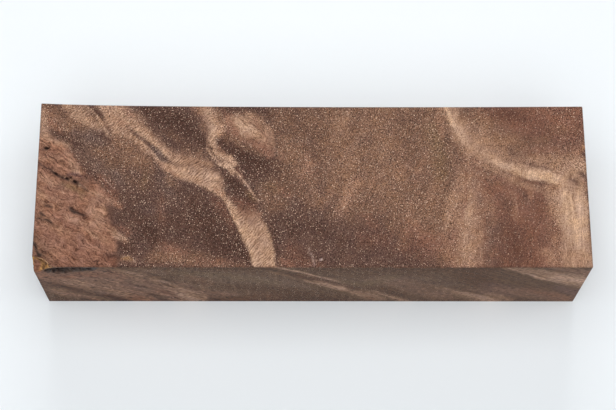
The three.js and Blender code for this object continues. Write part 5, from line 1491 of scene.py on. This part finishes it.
def walnut_burl_material(colours):
    """Oiled, resin-filled walnut burl: the figure attribute as ground, grain where the masks ask for it,
    mottling, pale pore flecks, painted shade in the hollows that deepens with their depth, and soiled
    edges."""
    material = bpy.data.materials.new("walnut_burl")
    material.use_nodes = True
    tree = material.node_tree
    tree.nodes.clear()
    bench = NodeBench(tree)
    shader = bench.put("ShaderNodeBsdfPrincipled", {"IOR": 1.46, "Specular IOR Level": 0.2})
    bench.put("ShaderNodeOutputMaterial", {"Surface": shader.outputs[0]})
    coordinates = bench.put("ShaderNodeTexCoord").outputs["Object"]
    place = bench.mapped(coordinates, (TO_MM, TO_MM, TO_MM), kind="POINT")
    x, y, z = bench.put("ShaderNodeSeparateXYZ", {"Vector": place}).outputs
    leaning = bench.triple(bench.add(x, z, LAYER_LEAN), y, z)
    waves = bench.noise(place, *BEND_NOISE)["Color"]
    bent = bench.vector("MULTIPLY_ADD", waves, BEND, leaning)
    curls = bench.noise(place, *CURL_NOISE)["Color"]
    curly = bench.vector("MULTIPLY_ADD", curls, CURL, leaning)
    figure = bench.put("ShaderNodeAttribute", attribute_name="figure").outputs["Color"]
    masks = dict(zip(("burl", "hatch", "upright", "level"), bench.attribute("grain")))
    flecked, deep, edge, long_side = bench.attribute("surface")
    fibres, flecks = fibre_group(), fleck_group()
    patterns = {"lines": fibres, "ripples": ripple_group()}

    # Specks, fewer where the wood is ruled, without flecks or sawn along
    ruled = bench.add(masks["hatch"], masks["upright"], RULED_UPRIGHT)
    ruled = bench.math("ADD", ruled, masks["level"])
    ruled = bench.add(ruled, masks["burl"], RULED_BURL, clamp=True)
    specks = bench.add(SPECK_DEPTH, ruled, -RULED_LOSS * SPECK_DEPTH)
    calmer = bench.add(1.0 - FLECKLESS_LOSS, flecked, FLECKLESS_LOSS)
    calmer = bench.math("MULTIPLY", calmer, bench.add(1.0, long_side, -LONG_SIDE_LOSS))
    specks = bench.math("MULTIPLY", specks, calmer)
    speck = bench.noise(bench.mapped(place, SPECK_SIZE), *SPECK_NOISE)["Fac"]
    tone = bench.math("MULTIPLY", bench.math("SUBTRACT", speck, 0.5), specks)
    mottle = bench.noise(place, *MOTTLE_NOISE)["Fac"]
    tone = bench.add(tone, bench.math("SUBTRACT", mottle, 0.5), MOTTLE_DEPTH)
    cloud = bench.noise(leaning, *CLOUD_NOISE)
    tone = bench.add(tone, bench.math("SUBTRACT", cloud["Fac"], 0.5), CLOUD_DEPTH)
    long_speck = bench.noise(bench.mapped(place, LONG_SPECK_SIZE), *LONG_SPECK_NOISE)["Fac"]
    sawn = bench.math("MULTIPLY", bench.math("SUBTRACT", long_speck, 0.5), long_side)
    tone = bench.add(tone, sawn, LONG_SPECK_DEPTH)

    # Grain
    for mask, kind, direction, first, second, depth in MASKED_GRAIN:
        where = curly if mask == "burl" else bent
        grain = bench.pattern(patterns[kind], where, math.radians(direction), first, second)
        tone = bench.add(tone, bench.math("MULTIPLY", grain, masks[mask]), depth)
    direction, length, spacing = PATCHES
    patches = bench.pattern(fibres, curly, math.radians(direction), length, spacing)
    patches = bench.math("MULTIPLY", patches, masks["burl"])
    tone = bench.add(tone, patches, PATCH_DEPTH)
    streaming = bench.math("ADD", *(
        bench.pattern(fibres, bent, math.radians(direction), length, spacing)
        for direction, length, spacing in STREAMING
    ))
    tone = bench.add(tone, streaming, STREAM_DEPTH)

    # Colour
    swing = bench.vector("MULTIPLY_ADD", tone, TONE_SWING, TONE_LEVEL)
    swing = bench.vector("MAXIMUM", swing, TONE_LEAST)
    warmth = bench.step(cloud["Color"], *CLOUD_TURN)
    tinted = bench.mix(1.0, figure, bench.mix(warmth, COOL_TINT, WARM_TINT), "MULTIPLY")
    redder = bench.math("MULTIPLY", bench.step(patches, *RED_FROM), PATCH_RED)
    tinted = bench.mix(redder, tinted, RED_TINT, "MULTIPLY")
    dressed = bench.vector("MULTIPLY", tinted, swing)
    gathered = bench.add(FLECK_EVEN, streaming, FLECK_GATHER)
    gathered = bench.math("MULTIPLY", gathered, flecked)
    fleck = 0.0
    for cell, size, strength in FLECKS:
        spots = bench.math("MULTIPLY", bench.pattern(flecks, place, cell, size), gathered)
        fleck = bench.add(fleck, spots, strength, clamp=True)
    soot = node_colour(colours.soot)
    dressed = bench.mix(fleck, dressed, node_colour(np.array(FLECK_LOOK) / 255))
    # Painted shade in the cracks and pits: the deeper they are, the darker, first towards dusk and then
    # towards the darkest colour
    dressed = bench.mix(bench.step(deep, *DUSK_FROM), dressed, node_colour(colours.dusk))
    hollow = bench.step(deep, *DEEP_SHADE_FROM)
    dressed = bench.mix(hollow, dressed, soot)
    dressed = bench.mix(bench.math("MULTIPLY", edge, EDGE_SOIL), dressed, soot)
    tree.links.new(dressed, shader.inputs["Base Color"])

    # Gloss and fine relief
    rough = bench.add(ROUGH_LEAST, mottle, ROUGH_MOTTLE)
    tree.links.new(bench.add(rough, hollow, ROUGH_HOLLOW), shader.inputs["Roughness"])
    height = bench.math("SUBTRACT", bench.math("MULTIPLY", mottle, RELIEF_MOTTLE), fleck)
    bump = bench.put(
        "ShaderNodeBump",
        {"Strength": RELIEF_STRENGTH, "Distance": RELIEF_DEPTH, "Height": height},
    )
    tree.links.new(bump.outputs[0], shader.inputs["Normal"])
    return material


def plain_material(name, colour, roughness):
    """One even colour, hardly glossy."""
    material = bpy.data.materials.new(name)
    material.use_nodes = True
    shader = material.node_tree.nodes["Principled BSDF"]
    shader.inputs["Base Color"].default_value = (*colour, 1.0)
    shader.inputs["Roughness"].default_value = roughness
    shader.inputs["Specular IOR Level"].default_value = 0.2
    return material


# Stage

# The camera, lined up with the photograph: place in millimetres, angles in degrees
CAMERA_PLACE = (-4.889, -140.103, 400.379)
CAMERA_YAW = 1.5912
CAMERA_PITCH = 70.0431
CAMERA_ROLL = 1.5626
SENSOR_WIDTH = 36.0
LIGHT_COLOUR = (1.0, 1.0, 1.0)
SKY_COLOUR = (0.86, 0.93, 1.0, 1.0)
FLOOR_LINES = 9


def camera_matrix():
    """Looks along (sin yaw cos pitch, cos yaw cos pitch, -sin pitch), rolled about that."""
    yaw, pitch, roll = (math.radians(a) for a in (CAMERA_YAW, CAMERA_PITCH, CAMERA_ROLL))
    ahead = np.array([
        math.sin(yaw) * math.cos(pitch), math.cos(yaw) * math.cos(pitch), -math.sin(pitch)
    ])
    right = np.array([math.cos(yaw), -math.sin(yaw), 0.0])
    up = np.cross(right, ahead)
    side = math.cos(roll) * right + math.sin(roll) * up
    above = -math.sin(roll) * right + math.cos(roll) * up
    matrix = np.eye(4)
    matrix[:3, 0], matrix[:3, 1], matrix[:3, 2] = side, above, -ahead
    matrix[:3, 3] = np.array(CAMERA_PLACE) * MM
    return Matrix(matrix.tolist())


def soft_light(name, place, size, power, colour):
    """A square area light at place, aimed at the block's middle."""
    light = bpy.data.lights.new(name, "AREA")
    light.shape = "SQUARE"
    light.size = size
    light.energy = power
    light.color = colour
    holder = bpy.data.objects.new(name, light)
    aim = np.array([0.0, 0.0, HEIGHT / 2 * MM]) - np.array(place)
    holder.location = place
    holder.rotation_euler = Matrix(aim_matrix(aim)).to_euler()
    bpy.context.scene.collection.objects.link(holder)
    return holder


def aim_matrix(aim):
    """Rows of a turn that takes -Z to aim."""
    back = -aim / np.linalg.norm(aim)
    side = np.cross((0.0, 1.0, 0.001), back)
    side /= np.linalg.norm(side)
    return np.column_stack([side, np.cross(back, side), back]).tolist()


class BURLBLOCK_OT_block(Operator):
    """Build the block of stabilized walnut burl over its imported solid"""

    bl_idname = "burlblock.block"
    bl_label = "Walnut burl block"

    def execute(self, context):
        scene = context.scene
        mesh = make_block(scene.burl_shape, scene.burl_colours)
        mesh.materials.append(walnut_burl_material(scene.burl_colours))
        block = bpy.data.objects.new("walnut_burl_block", mesh)
        scene.collection.objects.link(block)
        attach(block, "root")
        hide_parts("block")
        return {"FINISHED"}


class BURLBLOCK_OT_stage(Operator):
    """Lay the pale floor, hang the soft lights and place the camera"""

    bl_idname = "burlblock.stage"
    bl_label = "Studio stage"

    def execute(self, context):
        scene = context.scene
        settings = scene.burl_stage
        side = settings.floor_size / 2
        steps = np.linspace(-side, side, FLOOR_LINES)
        u, v = np.meshgrid(steps, steps, indexing="ij")
        number = np.arange(u.size).reshape(u.shape)
        corners = (number[:-1, :-1], number[1:, :-1], number[1:, 1:], number[:-1, 1:])
        faces = np.stack([c.ravel() for c in corners], 1)
        points = np.stack([u.ravel(), v.ravel(), np.zeros(u.size)], 1)
        mesh = bpy.data.meshes.new("studio_floor")
        mesh.from_pydata(points.tolist(), [], faces.tolist())
        mesh.materials.append(plain_material("floor_paper", settings.floor_colour, 0.9))
        floor = bpy.data.objects.new("studio_floor", mesh)
        scene.collection.objects.link(floor)
        world = bpy.data.worlds.new("studio_surround")
        world.use_nodes = True
        sky = world.node_tree.nodes["Background"]
        sky.inputs["Color"].default_value = SKY_COLOUR
        sky.inputs["Strength"].default_value = settings.sky_strength
        scene.world = world
        for name, place, size, power in (
            ("overhead_light", (0.0, 0.0, 1.1), 1.0, settings.overhead_power),
            ("front_light", (0.0, -0.55, 1.0), 0.9, settings.front_power),
            ("left_light", (-0.8, 0.0, 0.7), 0.7, settings.side_power),
            ("right_light", (0.8, 0.0, 0.7), 0.7, settings.side_power),
            ("back_light", (0.0, 0.6, 0.4), 0.4, settings.back_power),
        ):
            soft_light(name, place, size, power, LIGHT_COLOUR)
        camera = bpy.data.cameras.new("studio_camera")
        camera.sensor_fit = "HORIZONTAL"
        camera.sensor_width = SENSOR_WIDTH
        camera.lens = settings.lens
        camera.clip_start = 0.01
        camera.clip_end = 50.0
        holder = bpy.data.objects.new("studio_camera", camera)
        holder.matrix_world = camera_matrix()
        scene.collection.objects.link(holder)
        scene.camera = holder
        scene.view_settings.view_transform = "Standard"
        return {"FINISHED"}


class BURLBLOCK_PT_panel(Panel):
    """Builds the burl block and its stage, one button each"""

    bl_idname = "BURLBLOCK_PT_panel"
    bl_label = "Walnut Burl Block"
    bl_space_type = "VIEW_3D"
    bl_region_type = "UI"
    bl_category = "Burl Block"

    def draw(self, context):
        layout = self.layout
        scene = context.scene
        for settings in (scene.burl_shape, scene.burl_colours, scene.burl_stage):
            box = layout.box()
            for name in settings.__annotations__:
                box.prop(settings, name)
        layout.operator(BURLBLOCK_OT_block.bl_idname)
        layout.operator(BURLBLOCK_OT_stage.bl_idname)


CLASSES = (
    BurlBlockShape,
    BurlBlockColours,
    BurlBlockStage,
    BURLBLOCK_OT_block,
    BURLBLOCK_OT_stage,
    BURLBLOCK_PT_panel,
)


def register():
    for item in CLASSES:
        bpy.utils.register_class(item)
    bpy.types.Scene.burl_shape = PointerProperty(type=BurlBlockShape)
    bpy.types.Scene.burl_colours = PointerProperty(type=BurlBlockColours)
    bpy.types.Scene.burl_stage = PointerProperty(type=BurlBlockStage)


def unregister():
    del bpy.types.Scene.burl_shape
    del bpy.types.Scene.burl_colours
    del bpy.types.Scene.burl_stage
    for item in reversed(CLASSES):
        bpy.utils.unregister_class(item)


def main():
    register()
    bpy.ops.burlblock.stage()
    bpy.ops.burlblock.block()


if __name__ == "__main__":
    main()
